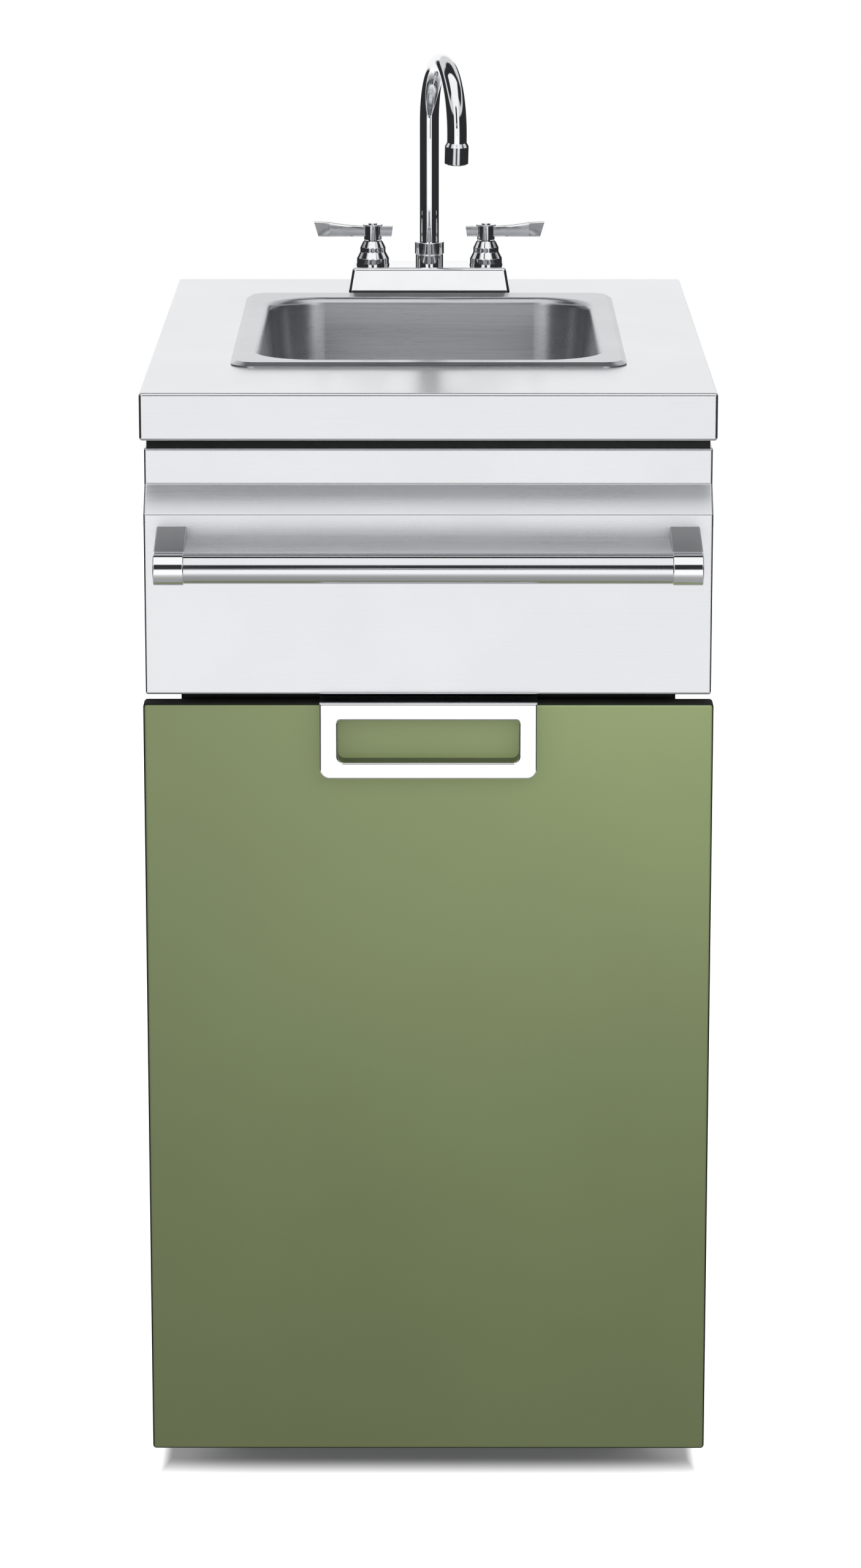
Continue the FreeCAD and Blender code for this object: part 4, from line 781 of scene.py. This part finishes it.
def make_studio():
    """World: white to the camera, a plain grey to soft light, and white with dark cards to reflections.
    Each area is bounded by soft steps in the x, y and z of the direction that a ray looks in."""
    world = bpy.data.worlds.new("studio")
    world.use_nodes = True
    tree = world.node_tree
    x, y, z = add(tree, "SeparateXYZ", {0: add(tree, "TexCoord").outputs["Generated"]}).outputs
    side = calc(tree, "ABSOLUTE", x)
    depth = calc(tree, "ABSOLUTE", y)
    lean = calc(tree, "DIVIDE", y, calc(tree, "MAXIMUM", z, LEAST_RISE))
    card = sector(tree, (z, 0.150, 0.166), (z, 0.228, 0.212), (side, 0.034, 0.025))
    stand = sector(tree, (side, 0.150, 0.125), (z, 0.06, 0.10), (z, 0.66, 0.58), (y, 0.0, -0.3))
    stand = calc(tree, "MULTIPLY", stand, calc(tree, "SUBTRACT", 1.0, card))
    free = calc(tree, "SUBTRACT", 1.0, stand)
    behind = sector(tree, (y, 0.0, 0.3), (z, 0.62, 0.42), (x, 0.36, 0.28), (x, -0.56, -0.46))
    ahead = calc(tree, "MULTIPLY", sector(tree, (side, 0.52, 0.44), (y, 0.0, -0.3)), free)
    above = sector(tree, (lean, 0.16, 0.08), (z, 0.58, 0.66), (side, 0.60, 0.48))
    flank = sector(tree, (depth, 0.46, 0.34), (z, 0.48, 0.54))
    upper = calc(tree, "MULTIPLY", sector(tree, (z, 0.33, 0.41), (z, 0.84, 0.76)), free)
    upper = calc(tree, "MULTIPLY", upper, calc(tree, "MULTIPLY_ADD", flank, -BAND_GREY, BAND_GREY))
    white = behind
    for area in (above, ahead, upper):
        white = calc(tree, "MAXIMUM", white, area)
    cards = blend(tree, white, DARK_CARD, WHITE)
    path = add(tree, "LightPath").outputs
    mirror = calc(tree, "MAXIMUM", path["Is Glossy Ray"], path["Is Transmission Ray"])
    soft = blend(tree, mirror, SOFT_LIGHT, cards)
    seen = blend(tree, path["Is Camera Ray"], soft, WHITE)
    tree.links.new(seen, tree.nodes["Background"].inputs["Color"])
    return world


bpy.context.scene.world = make_studio()
print("world:", bpy.context.scene.world.name)

# %% [markdown]
# The floor is one sheet of studio paper. It glows for the camera, so that it joins the white backdrop,
# but not under the cabinet, where it keeps the soft shadow. That shadow fades faster towards the sides
# than towards the front. For reflections the paper is darker near the cabinet and white further out.

# %% Floor
PAPER = (0.82, 0.82, 0.82, 1.0)
PAPER_IN_METAL = (0.30, 0.30, 0.30, 1.0)
SIDE_SHARPNESS = 4.0
SHADOW_FADE = 0.055
SHADOW_GLOW = 0.03
NEAR_GLOW, FAR_GLOW = 0.12, 0.97
GLOW_START, GLOW_FULL = 0.3, 2.0


def make_floor(half_width, near, far):
    """Level sheet of paper whose glow depends on the distance outside the cabinet's footprint."""
    mesh = bpy.data.meshes.new("floor")
    corners = [(-half_width, near, 0), (half_width, near, 0), (half_width, far, 0), (-half_width, far, 0)]
    mesh.from_pydata(corners, [], [(0, 1, 2, 3)])
    sheet = bpy.data.objects.new("floor", mesh)
    bpy.context.scene.collection.objects.link(sheet)
    material, tree, shader = new_finish("pale_floor", Roughness=0.9, Specular_IOR_Level=0.0)
    shader.inputs["Emission Color"].default_value = WHITE
    door_low, door_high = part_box("door_skin")
    place = add(tree, "SeparateXYZ", {0: add(tree, "TexCoord").outputs["Object"]}).outputs
    beside = calc(tree, "SUBTRACT", calc(tree, "ABSOLUTE", place["X"]), door_high[0])
    before = calc(tree, "SUBTRACT", door_low[1], place["Y"])
    after = calc(tree, "SUBTRACT", place["Y"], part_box("back_panel")[1][1])
    along = calc(tree, "MAXIMUM", before, after)
    clear = calc(tree, "MAXIMUM", beside, along)
    shadowed = calc(tree, "MAXIMUM", calc(tree, "MULTIPLY", beside, SIDE_SHARPNESS), along)
    path = add(tree, "LightPath").outputs
    paper = blend(tree, path["Is Glossy Ray"], PAPER, PAPER_IN_METAL)
    tree.links.new(paper, shader.inputs["Base Color"])
    to_camera = calc(tree, "ADD", between(tree, shadowed, -SHADOW_FADE, 0.0), SHADOW_GLOW)
    to_metal = between(tree, clear, GLOW_START, GLOW_FULL)
    to_metal = calc(tree, "MULTIPLY_ADD", to_metal, FAR_GLOW - NEAR_GLOW, NEAR_GLOW)
    glow = calc(tree, "MULTIPLY", path["Is Camera Ray"], to_camera)
    glow = calc(tree, "MULTIPLY_ADD", path["Is Glossy Ray"], to_metal, glow)
    tree.links.new(glow, shader.inputs["Emission Strength"])
    mesh.materials.append(material)
    return sheet


floor = make_floor(half_width=1.5, near=-9.0, far=4.0)
print("floor made:", floor.name)

# %% [markdown]
# Two soft lamps light the paint: a key close in front, just over the height of the worktop, which
# makes the door brighter at its top than at its foot, and a weak fill from the left. Metal does not
# see the lamps, only the studio round it. In the picture that this lesson follows, the pull leaves no
# shadow on the paint, so it is set to cast none.

# %% Lamps
def add_lamp(name, place, target, size, power):
    """Soft rectangular lamp that looks at the target."""
    light = bpy.data.lights.new(name, "AREA")
    light.shape = "RECTANGLE"
    light.size, light.size_y = size
    light.energy = power
    lamp = bpy.data.objects.new(name, light)
    aim = np.array(target) - np.array(place)
    flat = math.hypot(aim[0], aim[1])
    lamp.location = place
    lamp.rotation_euler = (math.atan2(flat, -aim[2]), 0.0, math.atan2(aim[1], aim[0]) - math.pi / 2)
    lamp.visible_camera = False
    lamp.visible_glossy = False
    bpy.context.scene.collection.objects.link(lamp)
    return lamp


frame["nodes"]["door_pull"].visible_shadow = False
key_lamp = add_lamp("key_lamp", place=(0.22, -0.74, 0.92), target=(0.05, -0.29, 0.62),
                    size=(0.8, 0.3), power=4.7)
fill_lamp = add_lamp("fill_lamp", place=(-1.8, -2.2, 1.6), target=(0.0, 0.0, 0.6),
                     size=(1.2, 1.6), power=8.0)
print("lamps:", key_lamp.name, fill_lamp.name)

# %% [markdown]
# The picture is shown with the plain Standard view, so a colour looks as it was written.

# %% Finish
bpy.context.scene.view_settings.view_transform = "Standard"
